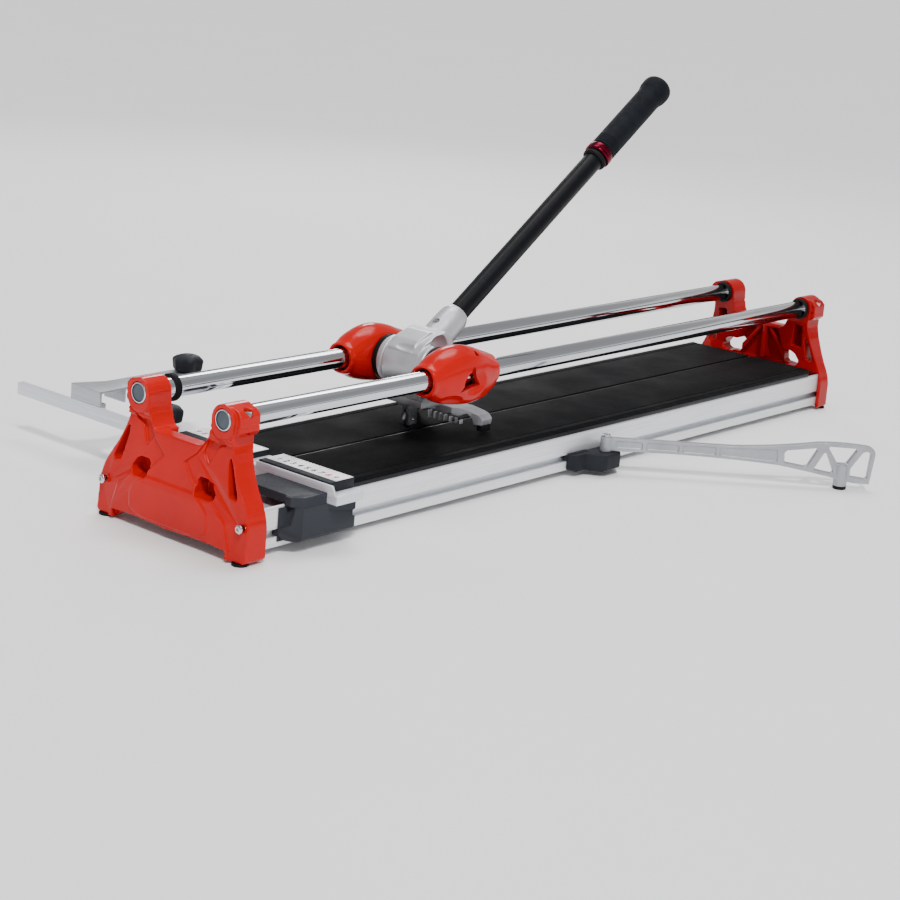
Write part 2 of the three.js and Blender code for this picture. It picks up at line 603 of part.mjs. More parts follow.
add(object, 'side_stop', sideStop(), ALUMINIUM);
const flangeBottom = STOP_PLATE + SHEET + GAP;
add(object, 'stop_knob', lobedKnob(STOP_KNOB, 78, flangeBottom, flangeBottom + 1.5), BLACK);
add(object, 'fence_knob', lobedKnob(FENCE_KNOB, 57, 61.9, 69.7), BLACK);

// Support arm: a slide bracket in the base's side slot, and an arm that swings on it about +Z.
function armBracket() {
  const [x, y] = ARM_PIVOT;
  const section = [[-128, 10], [-124, 7], [-110, 7], [-96, 9], [-96, 18.8], [-89, 18.8], [-89, 25.2],
    [-96, 25.2], [-96, 28], [-100, 28], [-101, 26.5], [-126, 26.5], [-128, 24]];
  const body = alongX(section, x - 53, x + 26);
  const plan = [[x - 53, -88], [x - 53, -98], [x - 46, -107], [x - 30, -107], [x - 16, -129], [x + 8, -129],
    [x + 26, -112], [x + 26, -88]];
  const clearance = box(x - 18, x + 30, -140, -95.9, 26.5, 40);
  return body.intersect(alongZ(plan, 0, 40)).subtract(clearance).subtract(rod('z', 3.4, 0, 30, [x, y], 16));
}

const arm = new THREE.Group();
arm.position.set(ARM_PIVOT[0], ARM_PIVOT[1], 0);
arm.rotation.z = ARM_TURN;
object.add(arm);

function armBody() {
  const half = ARM_THICK / 2;
  const side = new THREE.Shape();
  side.moveTo(-5, 28.4);
  side.lineTo(20, 28);
  side.quadraticCurveTo(110, 31, 204, 24.5);
  side.quadraticCurveTo(250, 18, 296, 8.5);
  side.lineTo(315, 8.5);
  side.lineTo(ARM_LENGTH, 44);
  side.quadraticCurveTo(ARM_LENGTH, 53, 308, 54);
  side.quadraticCurveTo(275, 57, 250, 54.5);
  side.quadraticCurveTo(200, 46, 150, 43.6);
  side.lineTo(-5, 43.2);
  let body = alongY(side, -half, half);
  const windows = [
    [[212, 28], [236, 24.5], [240, 26], [250, 45], [248, 48], [214, 43], [211, 40]],
    [[247, 22], [268, 18.5], [271, 20.5], [261, 43], [258, 43]],
    [[263, 49], [275, 31], [286, 31], [297, 48], [295, 50.5], [264, 51]],
    [[291, 16], [310, 14], [312, 16], [314, 45], [309, 48], [304, 46], [291, 26]],
  ];
  for (const points of windows) body = body.subtract(alongY(points, -20, 20));
  // Shallow pockets in both faces leave an I-shaped section.
  const pockets = [[24, 66], [70, 112], [116, 196]];
  for (const [from, to] of pockets) {
    for (const [y0, y1] of [[-half - 1, -half + 2.5], [half - 2.5, half + 1]]) {
      body = body.subtract(box(from, to, y0, y1, 32, 40.5));
    }
  }
  const hub = rod('z', 6.9, 26.9, 44.2, [0, 0], 28);
  const boss = rod('z', 8, 4, 30, [ARM_FOOT_AT, 0], 20);
  return union(body, hub, boss).subtract(rod('z', 3.6, 0, 60, [0, 0], 16));
}

add(object, 'arm_bracket', armBracket(), BLACK);
add(arm, 'support_arm', armBody(), CAST);
add(arm, 'arm_foot', rod('z', 8.2, 0.4, 3.7, [ARM_FOOT_AT, 0], 20), RUBBER);
const boltCentre = ARM_PIVOT;
const boltHead = rod('z', 4.8, 44.5, 47, boltCentre, 20).subtract(rod('z', 2.2, 45.6, 50, boltCentre, 6));
add(object, 'arm_pivot_bolt', boltHead.add(rod('z', 3, 9, 45, boltCentre, 16)), STEEL);

export default object;
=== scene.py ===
"""Looks of a manual tile cutter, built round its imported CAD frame.

Shapes are made in design millimetres (x from the front ends of the guide rods, y from the middle of the
machine, z from the floor) and placed in the frame by PLACE, which comes from where the guide rods are.
"""
import json
import math

import bmesh
import bpy
from mathutils import Matrix, Vector


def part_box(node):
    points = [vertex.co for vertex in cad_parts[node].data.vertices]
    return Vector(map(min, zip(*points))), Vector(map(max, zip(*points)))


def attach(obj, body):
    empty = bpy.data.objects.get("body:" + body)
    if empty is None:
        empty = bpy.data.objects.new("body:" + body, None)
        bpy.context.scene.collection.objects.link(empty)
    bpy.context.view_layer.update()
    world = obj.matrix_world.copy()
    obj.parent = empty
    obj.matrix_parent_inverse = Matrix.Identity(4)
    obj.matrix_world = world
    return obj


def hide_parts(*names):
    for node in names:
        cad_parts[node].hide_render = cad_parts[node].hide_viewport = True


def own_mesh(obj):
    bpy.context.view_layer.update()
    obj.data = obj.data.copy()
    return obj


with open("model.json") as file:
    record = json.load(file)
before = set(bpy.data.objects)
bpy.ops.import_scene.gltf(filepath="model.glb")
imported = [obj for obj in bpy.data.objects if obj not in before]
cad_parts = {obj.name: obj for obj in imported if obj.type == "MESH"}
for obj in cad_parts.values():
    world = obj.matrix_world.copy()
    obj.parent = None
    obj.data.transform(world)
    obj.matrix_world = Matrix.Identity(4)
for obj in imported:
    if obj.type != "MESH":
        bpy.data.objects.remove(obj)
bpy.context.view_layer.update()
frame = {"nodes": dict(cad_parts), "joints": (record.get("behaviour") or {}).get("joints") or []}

# ---------------------------------------------------------------- where things are, from the frame
MM = 0.001
near_rod, far_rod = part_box("guide_rod_near"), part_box("guide_rod_far")
ORIGIN = Vector((near_rod[0].x, (near_rod[0].y + far_rod[1].y) / 2, 0))
PLACE = Matrix.Translation(ORIGIN) @ Matrix.Scale(MM, 4)


def span(node):
    """Lowest and highest corner of a CAD node, in design millimetres."""
    return tuple((corner - ORIGIN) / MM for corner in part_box(node))


def joint_point(name):
    found = next(j for j in frame["joints"] if j["name"] == name)
    return (Vector(found["pos_m"]) - ORIGIN) / MM


ROD_LOW, ROD_HIGH = span("guide_rod_near")
ROD_LENGTH = ROD_HIGH.x
ROD_R = (ROD_HIGH.z - ROD_LOW.z) / 2
ROD_Z = (ROD_HIGH.z + ROD_LOW.z) / 2
ROD_Y = -(ROD_HIGH.y + ROD_LOW.y) / 2
HUB = joint_point("handle_pivot")
HANDLE_RISE = math.radians(35.3)
SIDES = (("near", -1), ("far", 1))


# ---------------------------------------------------------------- mesh helpers
def make(name, vertices, faces):
    """A mesh object in the scene, with its faces turned outwards."""
    mesh = bpy.data.meshes.new(name)
    mesh.from_pydata([tuple(v) for v in vertices], [], faces)
    made = bpy.data.objects.new(name, mesh)
    bpy.context.scene.collection.objects.link(made)
    outward(made)
    return made


def outward(obj):
    bm = bmesh.new()
    bm.from_mesh(obj.data)
    bmesh.ops.recalc_face_normals(bm, faces=bm.faces)
    bm.to_mesh(obj.data)
    bm.free()


ORDER = {"x": lambda a, b, c: (c, a, b), "y": lambda a, b, c: (a, c, b), "z": lambda a, b, c: (a, b, c)}


def prism(outline, axis, low, high):
    """An outline (in Y and Z for x, X and Z for y, X and Y for z) run along an axis from low to high."""
    count = len(outline)
    vertices = [ORDER[axis](a, b, c) for c in (low, high) for a, b in outline]
    faces = [list(range(count)), list(range(count, 2 * count))]
    faces += [(i, (i + 1) % count, (i + 1) % count + count, i + count) for i in range(count)]
    return make("part", vertices, faces)


def block(x, y, z):
    return prism([(x[0], y[0]), (x[1], y[0]), (x[1], y[1]), (x[0], y[1])], "z", *z)


def lathe(profile, axis, centre, sides=96):
    """A turned solid: the profile lists distance along the axis and radius. It ends on the axis or closes."""
    closed = profile[0][1] > 0
    rings, vertices, faces = [], [], []
    for along, radius in profile:
        if radius <= 0:
            rings.append([len(vertices)])
            vertices.append(ORDER[axis](centre[0], centre[1], along))
            continue
        rings.append(list(range(len(vertices), len(vertices) + sides)))
        for i in range(sides):
            turn = 2 * math.pi * i / sides
            a = centre[0] + radius * math.cos(turn)
            b = centre[1] + radius * math.sin(turn)
            vertices.append(ORDER[axis](a, b, along))
    pairs = list(zip(rings, rings[1:] + rings[:1] if closed else rings[1:]))
    for first, second in pairs:
        for i in range(sides):
            j = (i + 1) % sides
            if len(first) == 1 and len(second) == 1:
                continue
            if len(first) == 1:
                faces.append((first[0], second[i], second[j]))
            elif len(second) == 1:
                faces.append((first[i], first[j], second[0]))
            else:
                faces.append((first[i], first[j], second[j], second[i]))
    return make("part", vertices, faces)


def rod(axis, radius, low, high, centre, sides=64):
    """A round bar along an axis."""
    return lathe([(low, 0), (low, radius), (high, radius), (high, 0)], axis, centre, sides)


def ring(axis, outer, inner, low, high, centre, sides=96, soft=0.4):
    """A ring with softened outer edges."""
    profile = [(low, inner), (low, outer - soft), (low + soft, outer), (high - soft, outer),
               (high, outer - soft), (high, inner)]
    return lathe(profile, axis, centre, sides)


def bake(obj):
    """Applies every modifier."""
    graph = bpy.context.evaluated_depsgraph_get()
    mesh = bpy.data.meshes.new_from_object(obj.evaluated_get(graph))
    obj.modifiers.clear()
    old = obj.data
    obj.data = mesh
    bpy.data.meshes.remove(old)
    return obj


def boolean(obj, operation, others):
    for other in others:
        modifier = obj.modifiers.new("boolean", "BOOLEAN")
        modifier.operation = operation
        modifier.solver = "MANIFOLD"
        modifier.object = other
    bake(obj)
    for other in others:
        bpy.data.objects.remove(other)
    return obj


def cut(obj, *others):
    return boolean(obj, "DIFFERENCE", others)


def join(obj, *others):
    return boolean(obj, "UNION", others)


def keep(obj, *others):
    return boolean(obj, "INTERSECT", others)


def bevelled(obj, width, segments=3, angle=30):
    modifier = obj.modifiers.new("bevel", "BEVEL")
    modifier.width = width
    modifier.segments = segments
    modifier.limit_method = "ANGLE"
    modifier.angle_limit = math.radians(angle)
    modifier.miter_outer = "MITER_ARC"
    modifier.use_clamp_overlap = True
    return bake(obj)


def cast(obj, voxel, rounds):
    """Turns a solid of joined shapes into one cast surface with rounded edges and fillets."""
    remesh = obj.modifiers.new("remesh", "REMESH")
    remesh.mode = "VOXEL"
    remesh.voxel_size = voxel
    smooth = obj.modifiers.new("smooth", "SMOOTH")
    smooth.factor = 0.5
    smooth.iterations = rounds
    return bake(obj)


def flattened(obj):
    """Joins the flat faces' triangles, so that a bevel meets real edges only."""
    modifier = obj.modifiers.new("flat", "DECIMATE")
    modifier.decimate_type = "DISSOLVE"
    modifier.angle_limit = math.radians(0.5)
    return bake(obj)


def shade(obj, angle=32):
    mesh = obj.data
    mesh.polygons.foreach_set("use_smooth", [True] * len(mesh.polygons))
    mesh.set_sharp_from_angle(angle=math.radians(angle))


def copy_of(node):
    """A CAD node's solid in design millimetres, with its shared vertices merged."""
    mesh = frame["nodes"][node].data.copy()
    made = bpy.data.objects.new("part", mesh)
    bpy.context.scene.collection.objects.link(made)
    mesh.transform(PLACE.inverted())
    mesh.materials.clear()
    bm = bmesh.new()
    bm.from_mesh(mesh)
    bmesh.ops.remove_doubles(bm, verts=bm.verts, dist=0.002)
    bm.to_mesh(mesh)
    bm.free()
    return made


def finished(obj, name, body, material, stands_for=(), local=None, angle=32):
    """Places a piece in the frame, gives it its material, and says what it rides on and stands for."""
    obj.name = obj.data.name = name
    if local is not None:
        obj.data.transform(local)
    obj.data.transform(PLACE)
    obj.data.materials.clear()
    obj.data.materials.append(material)
    shade(obj, angle)
    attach(obj, body)
    if stands_for:
        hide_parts(*([stands_for] if isinstance(stands_for, str) else stands_for))
    return obj


# ---------------------------------------------------------------- outline helpers
def arc(centre, radius, start, end, steps):
    """Points on a circle, by angles in degrees."""
    points = []
    for i in range(steps + 1):
        turn = math.radians(start + (end - start) * i / steps)
        points.append((centre[0] + radius * math.cos(turn), centre[1] + radius * math.sin(turn)))
    return points


def curve(start, middle, end, steps=10):
    """A quadratic curve from start towards middle to end, without its first point."""
    points = []
    for i in range(1, steps + 1):
        t = i / steps
        weights = ((1 - t) ** 2, 2 * t * (1 - t), t * t)
        points.append(tuple(sum(w * p[k] for w, p in zip(weights, (start, middle, end))) for k in (0, 1)))
    return points


def softened(outline, radius, steps=4):
    """The outline with each corner rounded."""
    points = []
    count = len(outline)
    for i, here in enumerate(outline):
        before, after = Vector(outline[i - 1]), Vector(outline[(i + 1) % count])
        here = Vector(here)
        reach = min(radius, (before - here).length * 0.45, (after - here).length * 0.45)
        start = here + (before - here).normalized() * reach
        end = here + (after - here).normalized() * reach
        points += [tuple(start)] + curve(start, here, end, steps)
    return points


def mirrored(outline):
    return [(-a, b) for a, b in reversed(outline)]


def sided(outline, side):
    return outline if side > 0 else mirrored(outline)


def smooth_through(points):
    """A smooth function of x through the points, by Catmull-Rom."""
    def value(x):
        i = 0
        while i < len(points) - 2 and x > points[i + 1][0]:
            i += 1
        (x0, y0), (x1, y1) = points[i], points[i + 1]
        before, after = points[max(i - 1, 0)], points[min(i + 2, len(points) - 1)]
        slope0 = (y1 - before[1]) / (x1 - before[0])
        slope1 = (after[1] - y0) / (after[0] - x0)
        t = (x - x0) / (x1 - x0)
        width = x1 - x0
        return ((2 * t ** 3 - 3 * t ** 2 + 1) * y0 + (t ** 3 - 2 * t ** 2 + t) * width * slope0
                + (3 * t ** 2 - 2 * t ** 3) * y1 + (t ** 3 - t ** 2) * width * slope1)
    return value


# ---------------------------------------------------------------- materials
class Shader:
    """A Principled material with procedural colour, roughness and relief."""

    def __init__(self, name, roughness, metallic=0.0, **sockets):
        self.material = bpy.data.materials.new(name)
        self.material.use_nodes = True
        self.nodes = self.material.node_tree.nodes
        self.links = self.material.node_tree.links
        self.principled = self.nodes["Principled BSDF"]
        self.principled.inputs["Roughness"].default_value = roughness
        self.principled.inputs["Metallic"].default_value = metallic
        for socket, value in sockets.items():
            self.principled.inputs[socket.replace("_", " ")].default_value = value
        self.coordinates = self.nodes.new("ShaderNodeTexCoord").outputs["Object"]
        self.height = None

    def noise(self, scale, detail=4.0, stretch=(1, 1, 1), roughness=0.55):
        mapping = self.nodes.new("ShaderNodeMapping")
        mapping.inputs["Scale"].default_value = stretch
        self.links.new(self.coordinates, mapping.inputs["Vector"])
        texture = self.nodes.new("ShaderNodeTexNoise")
        texture.inputs["Scale"].default_value = scale
        texture.inputs["Detail"].default_value = detail
        texture.inputs["Roughness"].default_value = roughness
        self.links.new(mapping.outputs["Vector"], texture.inputs["Vector"])
        return texture.outputs["Fac"]

    def cells(self, scale):
        texture = self.nodes.new("ShaderNodeTexVoronoi")
        texture.inputs["Scale"].default_value = scale
        self.links.new(self.coordinates, texture.inputs["Vector"])
        return texture.outputs["Distance"]

    def ramp(self, value, stops):
        node = self.nodes.new("ShaderNodeValToRGB")
        elements = node.color_ramp.elements
        while len(elements) < len(stops):
            elements.new(0.5)
        for element, (position, shade_of) in zip(elements, stops):
            element.position = position
            element.color = (*shade_of, 1) if len(shade_of) == 3 else (shade_of[0],) * 3 + (1,)
        self.links.new(value, node.inputs["Fac"])
        return node.outputs["Color"]

    def mix(self, share, first, second, kind="MIX"):
        node = self.nodes.new("ShaderNodeMix")
        node.data_type = "RGBA"
        node.blend_type = kind
        for socket, value in (("Factor", share), ("A", first), ("B", second)):
            named = [s for s in node.inputs if s.name == socket]
            target = next(s for s in named if socket == "Factor" or s.type == "RGBA")
            if isinstance(value, bpy.types.NodeSocket):
                self.links.new(value, target)
            elif socket == "Factor":
                target.default_value = value
            else:
                target.default_value = (*value, 1)
        return next(s for s in node.outputs if s.type == "RGBA")

    def colour(self, value):
        self.links.new(value, self.principled.inputs["Base Color"])

    def rough(self, value, low, high):
        node = self.nodes.new("ShaderNodeMapRange")
        node.inputs["From Min"].default_value = 0.3
        node.inputs["From Max"].default_value = 0.7
        node.inputs["To Min"].default_value = low
        node.inputs["To Max"].default_value = high
        self.links.new(value, node.inputs["Value"])
        self.links.new(node.outputs["Result"], self.principled.inputs["Roughness"])

    def relief(self, value, strength, depth_mm):
        bump = self.nodes.new("ShaderNodeBump")
        bump.inputs["Strength"].default_value = strength
        bump.inputs["Distance"].default_value = depth_mm * MM
        self.links.new(value, bump.inputs["Height"])
        if self.height is not None:
            self.links.new(self.height, bump.inputs["Normal"])
        self.height = bump.outputs["Normal"]
        self.links.new(self.height, self.principled.inputs["Normal"])

    def edges(self, low=0.5, high=0.62):
        """Bright on outer edges, where a surface wears."""
        geometry = self.nodes.new("ShaderNodeNewGeometry")
        return self.ramp(geometry.outputs["Pointiness"], [(low, (0,)), (high, (1,))])


def gloss_paint(name, colour, edge, roughness=0.16, coat=0.1):
    made = Shader(name, roughness, Coat_Weight=coat, Coat_Roughness=0.03, Specular_IOR_Level=0.14)
    dark = tuple(c * 0.86 for c in colour)
    tone = made.ramp(made.noise(14, 3), [(0.35, dark), (0.65, colour)])
    made.colour(made.mix(made.edges(0.53, 0.62), tone, edge))
    made.rough(made.noise(220, 2), roughness - 0.03, roughness + 0.06)
    made.relief(made.noise(700, 2), 0.05, 0.10)
    made.relief(made.noise(70, 2), 0.04, 0.5)
    return made.material


def cast_silver(name, colour):
    made = Shader(name, 0.42, 0.6, Coat_Weight=0.15, Coat_Roughness=0.25)
    dark = tuple(c * 0.8 for c in colour)
    tone = made.ramp(made.noise(35, 5), [(0.3, dark), (0.7, colour)])
    bright = tuple(min(1, c * 1.3) for c in colour)
    worn = made.ramp(made.noise(120, 3), [(0.4, (0.35,)), (0.65, (1.0,))])
    edge = made.mix(1.0, made.edges(0.52, 0.62), worn, "MULTIPLY")
    made.colour(made.mix(edge, tone, bright))
    made.rough(made.noise(300, 4), 0.34, 0.5)
    made.relief(made.noise(900, 3), 0.22, 0.12)
    made.relief(made.noise(90, 3), 0.10, 0.4)
    return made.material


def brushed(name, colour, roughness, along="x", strength=0.12, metallic=0.92):
    made = Shader(name, roughness, metallic, Specular_IOR_Level=0.3)
    stretch = {"x": (0.02, 1, 1), "y": (1, 0.02, 1), "z": (1, 1, 0.02)}[along]
    dark = tuple(c * 0.84 for c in colour)
    lines = made.noise(900, 3, stretch)
    tone = made.ramp(lines, [(0.35, dark), (0.62, colour)])
    made.colour(made.mix(made.edges(0.53, 0.64), tone, tuple(min(1, c * 1.2 + 0.02) for c in colour)))
    made.rough(made.noise(300, 3, stretch), roughness - 0.06, roughness + 0.1)
    made.relief(lines, strength, 0.05)
    return made.material


def polished(name, colour, roughness):
    made = Shader(name, roughness, 1.0)
    film = made.noise(45, 4, (0.06, 1, 1))
    made.colour(made.ramp(film, [(0.3, tuple(c * 0.92 for c in colour)), (0.7, colour)]))
    made.rough(made.noise(260, 3, (0.05, 1, 1)), roughness, roughness + 0.06)
    made.relief(made.noise(700, 2, (0.02, 1, 1)), 0.03, 0.03)
    return made.material


def moulded(name, colour, roughness, grain=1400, depth=0.10, specular=0.1):
    made = Shader(name, roughness, Specular_IOR_Level=specular)
    light = tuple(c * 1.4 + 0.002 for c in colour)
    made.colour(made.mix(made.edges(0.54, 0.68), made.ramp(made.noise(25, 4), [(0.3, colour), (0.75, light)]),
                         tuple(c * 2.2 + 0.006 for c in colour)))
    made.rough(made.noise(500, 3), roughness - 0.08, roughness + 0.08)
    made.relief(made.noise(grain, 3), 0.3, depth)
    return made.material


def bed_rubber_material():
    made = Shader("bed_rubber", 0.72, Specular_IOR_Level=0.07)
    specks = made.ramp(made.cells(520), [(0.1, (0.013, 0.014, 0.015)), (0.55, (0.005, 0.0055, 0.006))])
    patches = made.ramp(made.noise(9, 5), [(0.35, (0.6,)), (0.7, (1.0,))])
    made.colour(made.mix(1.0, specks, patches, "MULTIPLY"))
    made.rough(made.noise(14, 4), 0.6, 0.8)
    made.relief(made.cells(900), 0.4, 0.15)
    return made.material


def grip_material():
    made = Shader("grip_rubber", 0.7, Sheen_Weight=0.03, Sheen_Roughness=0.5, Specular_IOR_Level=0.1)
    made.colour(made.ramp(made.noise(60, 4), [(0.3, (0.004, 0.005, 0.008)), (0.7, (0.008, 0.010, 0.014))]))
    made.rough(made.noise(200, 3), 0.6, 0.78)
    made.relief(made.cells(1500), 0.4, 0.15)
    return made.material


# The rear frame's red is the same powder coat as the front, darkened as painted shade.
RED_IN_PAINTED_SHADE = gloss_paint("red_powder_coat_painted_shade", (0.40, 0.002, 0.003), (0.52, 0.015, 0.012))
RED = gloss_paint("red_powder_coat", (0.56, 0.003, 0.002), (0.66, 0.02, 0.014))
SILVER = cast_silver("cast_silver", (0.62, 0.63, 0.67))
DARK_CAST = cast_silver("dark_cast", (0.17, 0.175, 0.185))
BRIGHT_CAST = cast_silver("bright_cast", (0.42, 0.43, 0.46))
EXTRUDED = brushed("extruded_aluminium", (0.84, 0.86, 0.90), 0.42, "x", 0.10, 0.55)
SHEET = brushed("sheet_aluminium", (0.72, 0.74, 0.80), 0.5, "y", 0.14, 0.35)
STOP_SHEET = brushed("stop_sheet_aluminium", (0.42, 0.43, 0.46), 0.42, "y", 0.14, 0.75)
CHROME = polished("hard_chrome", (0.64, 0.66, 0.70), 0.05)
ZINC = polished("bright_zinc", (0.66, 0.67, 0.69), 0.22)
DARK_STEEL = polished("tool_steel", (0.24, 0.24, 0.25), 0.3)
BED_TOP = bed_rubber_material()
SOFT_RUBBER = moulded("soft_rubber", (0.006, 0.006, 0.0065), 0.6, 1100)
BLACK_PLASTIC = moulded("black_nylon", (0.012, 0.0135, 0.017), 0.5, 1600, specular=0.12)
PLUG_GREY = moulded("grey_plastic", (0.075, 0.090, 0.110), 0.45, 1500)
BED_PANEL = brushed("black_anodised", (0.020, 0.021, 0.024), 0.42, "x", 0.08)
GRIP = grip_material()
ENAMEL = gloss_paint("black_enamel", (0.003, 0.0035, 0.005), (0.02, 0.02, 0.024), 0.36, 0.02)
WINE = brushed("wine_anodised", (0.13, 0.003, 0.016), 0.16, "y", 0.06)
TAPE = moulded("white_tape", (0.62, 0.63, 0.64), 0.4, 600, 0.03)
INK_BLACK = moulded("black_ink", (0.008, 0.008, 0.009), 0.5)
INK_RED = moulded("red_ink", (0.42, 0.03, 0.03), 0.5)


# ---------------------------------------------------------------- end frames
SLOPE_FOOT, SLOPE_TOP = 50, 112
TURNED = Matrix.Translation((ROD_LENGTH, 0, 0)) @ Matrix.Rotation(math.pi, 4, "Z")
COVER = [(-125, -5), (125, -5), (125, 118), (-125, 118)]
NAME_PLATE = [(-38, 57), (40, 57), (57, 41), (57, 21), (42, 15), (-42, 15), (-57, 21), (-57, 41)]
LEG_SIDE = [(14, 84), (37, 61), (56, 57), (79, 38), (87, 14), (91, -5), (125, -5), (125, 64), (96, 88),
            (84, 113), (42, 113), (30, 96)]
VALLEY = [(57, 111), (45, 86), (36, 98), (41, 112)]
BROW = [(43, 92), (45, 104), (54, 112), (66, 115.5), (66, 111.5), (57, 107.5), (50, 101), (47.5, 92)]
ARCH = [(-84, 4), (84, 4), (84, 11), (60, 12.6), (0, 11), (-60, 12.6), (-84, 11)]
WINDOW_BACK = [(18, 52), (65, 52), (65, 76), (18, 76)]
RIM_R, RIM_GROOVE_R = 15.4, 21.5
RUBBER_RING_BORE_R = 11.3
FRAME_BORE_R = 11.6
COVER_DEPTH, FRONT_LEG_DEPTH, REAR_LEG_DEPTH = 1.2, 3.8, 2.2


def sunk(outline, depth, face, keep_out=None, soft=3):
    """A cutter that sinks an outline into the sloping front face by a depth, apart from an outline kept."""
    made = prism(softened(outline, soft), "x", 0, 1)
    if keep_out:
        cut(made, prism(softened(keep_out, 5), "x", -1, 2))
    for vertex in made.data.vertices:
        if vertex.co.x > 0.5:
            slope = min(1, max(0, (SLOPE_TOP - vertex.co.z) / (SLOPE_TOP - SLOPE_FOOT)))
            vertex.co.x = face * slope + depth
        else:
            vertex.co.x = face - 20
    return made


def end_frame(node, turn=None):
    """An end frame as one casting; the rear one is turned to face forwards while it is made."""
    body = copy_of(node)
    if turn is not None:
        body.data.transform(turn)
    face = min(vertex.co.x for vertex in body.data.vertices)
    is_front = turn is None
    cut(body, sunk(COVER, COVER_DEPTH, face, NAME_PLATE))
    if is_front:
        cut(body, prism(ARCH, "x", face - 5, face + 7.5))
    for _, side in SIDES:
        leg_depth = FRONT_LEG_DEPTH if is_front else REAR_LEG_DEPTH
        cut(body, sunk(sided(LEG_SIDE, side), leg_depth, face))
        cut(body, sunk(sided(VALLEY, side), leg_depth + 3.4, face, soft=2))
        cut(body, sunk(sided(BROW, side), leg_depth + 2.2, face, soft=1.5))
        cut(body, ring("x", RIM_GROOVE_R, RIM_GROOVE_R - 2.4, -1, 1.6, (side * ROD_Y, ROD_Z)))
        join(body, ring("x", RIM_R, FRAME_BORE_R, 0.1, 3, (side * ROD_Y, ROD_Z)))
        if is_front:
            join(body, prism(sided(WINDOW_BACK, side), "x", face + 22, face + 30))
    cast(body, 0.8, 3)
    for _, side in SIDES:
        cut(body, rod("x", FRAME_BORE_R, -5, 60, (side * ROD_Y, ROD_Z), 96))
    return body


def end_frames():
    front = end_frame("front_frame")
    finished(front, "front_end_frame", "base", RED, "front_frame", angle=50)
    rear = end_frame("rear_frame", TURNED.inverted())
    # The rear casting takes the darker red as painted shade.
    finished(rear, "rear_end_frame", "base", RED_IN_PAINTED_SHADE, "rear_frame", local=TURNED, angle=50)


def refined(node, name, body, material, width=0.5, segments=2, angle=30):
    """A CAD solid with its edges rounded."""
    piece = copy_of(node)
    flattened(piece)
    bevelled(piece, width, segments)
    return finished(piece, name, body, material, node, angle=angle)


def round_rubber(low, high, r, bore, corner, steps):
    """The profile of a rubber ring from low to high along its axis, with rounded outer corners."""
    profile = [(low, bore), (low, r - corner)] + arc((low + corner, r - corner), corner, 180, 90, steps)
    return profile + arc((high - corner, r - corner), corner, 90, 0, steps) + [(high, bore)]


def stop_ring(node, name):
    low, high = span(node)
    y, z, r = (low.y + high.y) / 2, (low.z + high.z) / 2, (high.z - low.z) / 2
    soft = round_rubber(low.x, high.x, r, RUBBER_RING_BORE_R, 1.4, 5)
    finished(lathe(soft, "x", (y, z)), name, "base", SOFT_RUBBER, node)


def end_fittings():
    """Stop rings, rubber feet, frame screws and the clamp screws of the rods."""
    for end, turn in (("front", None), ("rear", TURNED)):
        for name, _ in SIDES:
            if f"{end}_bumper_{name}" in frame["nodes"]:
                stop_ring(f"{end}_bumper_{name}", f"{end}_stop_ring_{name}")
            low, high = span(f"{end}_foot_{name}")
            centre, r = ((low.x + high.x) / 2, (low.y + high.y) / 2), (high.x - low.x) / 2
            stem = r * 0.45
            pad = [(0, 0), (0, r - 1), (0.8, r), (2.2, r), (2.7, r - 0.6), (2.7, stem), (8.3, stem), (8.3, 0)]
            finished(lathe(pad, "z", centre, 64), f"{end}_rubber_foot_{name}", "base", SOFT_RUBBER,
                     f"{end}_foot_{name}")
            refined(f"{end}_frame_screw_{name}", f"{end}_star_screw_{name}", "base", ZINC, 0.25)
    for name, side in SIDES:
        # The front clamp screws are dark steel, unlike the zinc rear ones, as painted shade for the depth of
        # their recesses.
        refined(f"clamp_bolt_{name}", f"front_clamp_screw_{name}", "base", DARK_STEEL, 0.4)
        low, high = span(f"clamp_bolt_{name}")
        rear_bolt = copy_of(f"clamp_bolt_{name}")
        flattened(rear_bolt)
        bevelled(rear_bolt, 0.4)
        away = Matrix.Translation((ROD_LENGTH - low.x - high.x, 0, 0))
        finished(rear_bolt, f"rear_clamp_screw_{name}", "base", ZINC, local=away)


# ---------------------------------------------------------------- guide rods
ROD_BORE_R, ROD_CHAMFER = 9.5, 0.7


def rods():
    for name, side in SIDES:
        centre = (side * ROD_Y, ROD_Z)
        skin = [(0, ROD_BORE_R), (0, ROD_R - ROD_CHAMFER), (ROD_CHAMFER, ROD_R),
                (ROD_LENGTH - ROD_CHAMFER, ROD_R), (ROD_LENGTH, ROD_R - ROD_CHAMFER), (ROD_LENGTH, ROD_BORE_R)]
        finished(lathe(skin, "x", centre, 128), f"chromed_rod_{name}", "base", CHROME,
                 f"guide_rod_{name}", angle=50)
        plug = [(0.5, 0), (0.5, 7.6), (0.9, 8.6), (1.6, 9.2), (9, 9.2), (9, 0)]
        finished(lathe(plug, "x", centre), f"rod_end_plug_{name}", "base", PLUG_GREY,
                 f"rod_plug_{name}")
        finished(lathe(plug, "x", (-side * ROD_Y, ROD_Z)), f"rear_end_plug_{name}", "base", PLUG_GREY,
                 local=TURNED)


# ---------------------------------------------------------------- base and bed
RIDGE_HALF = 1.6


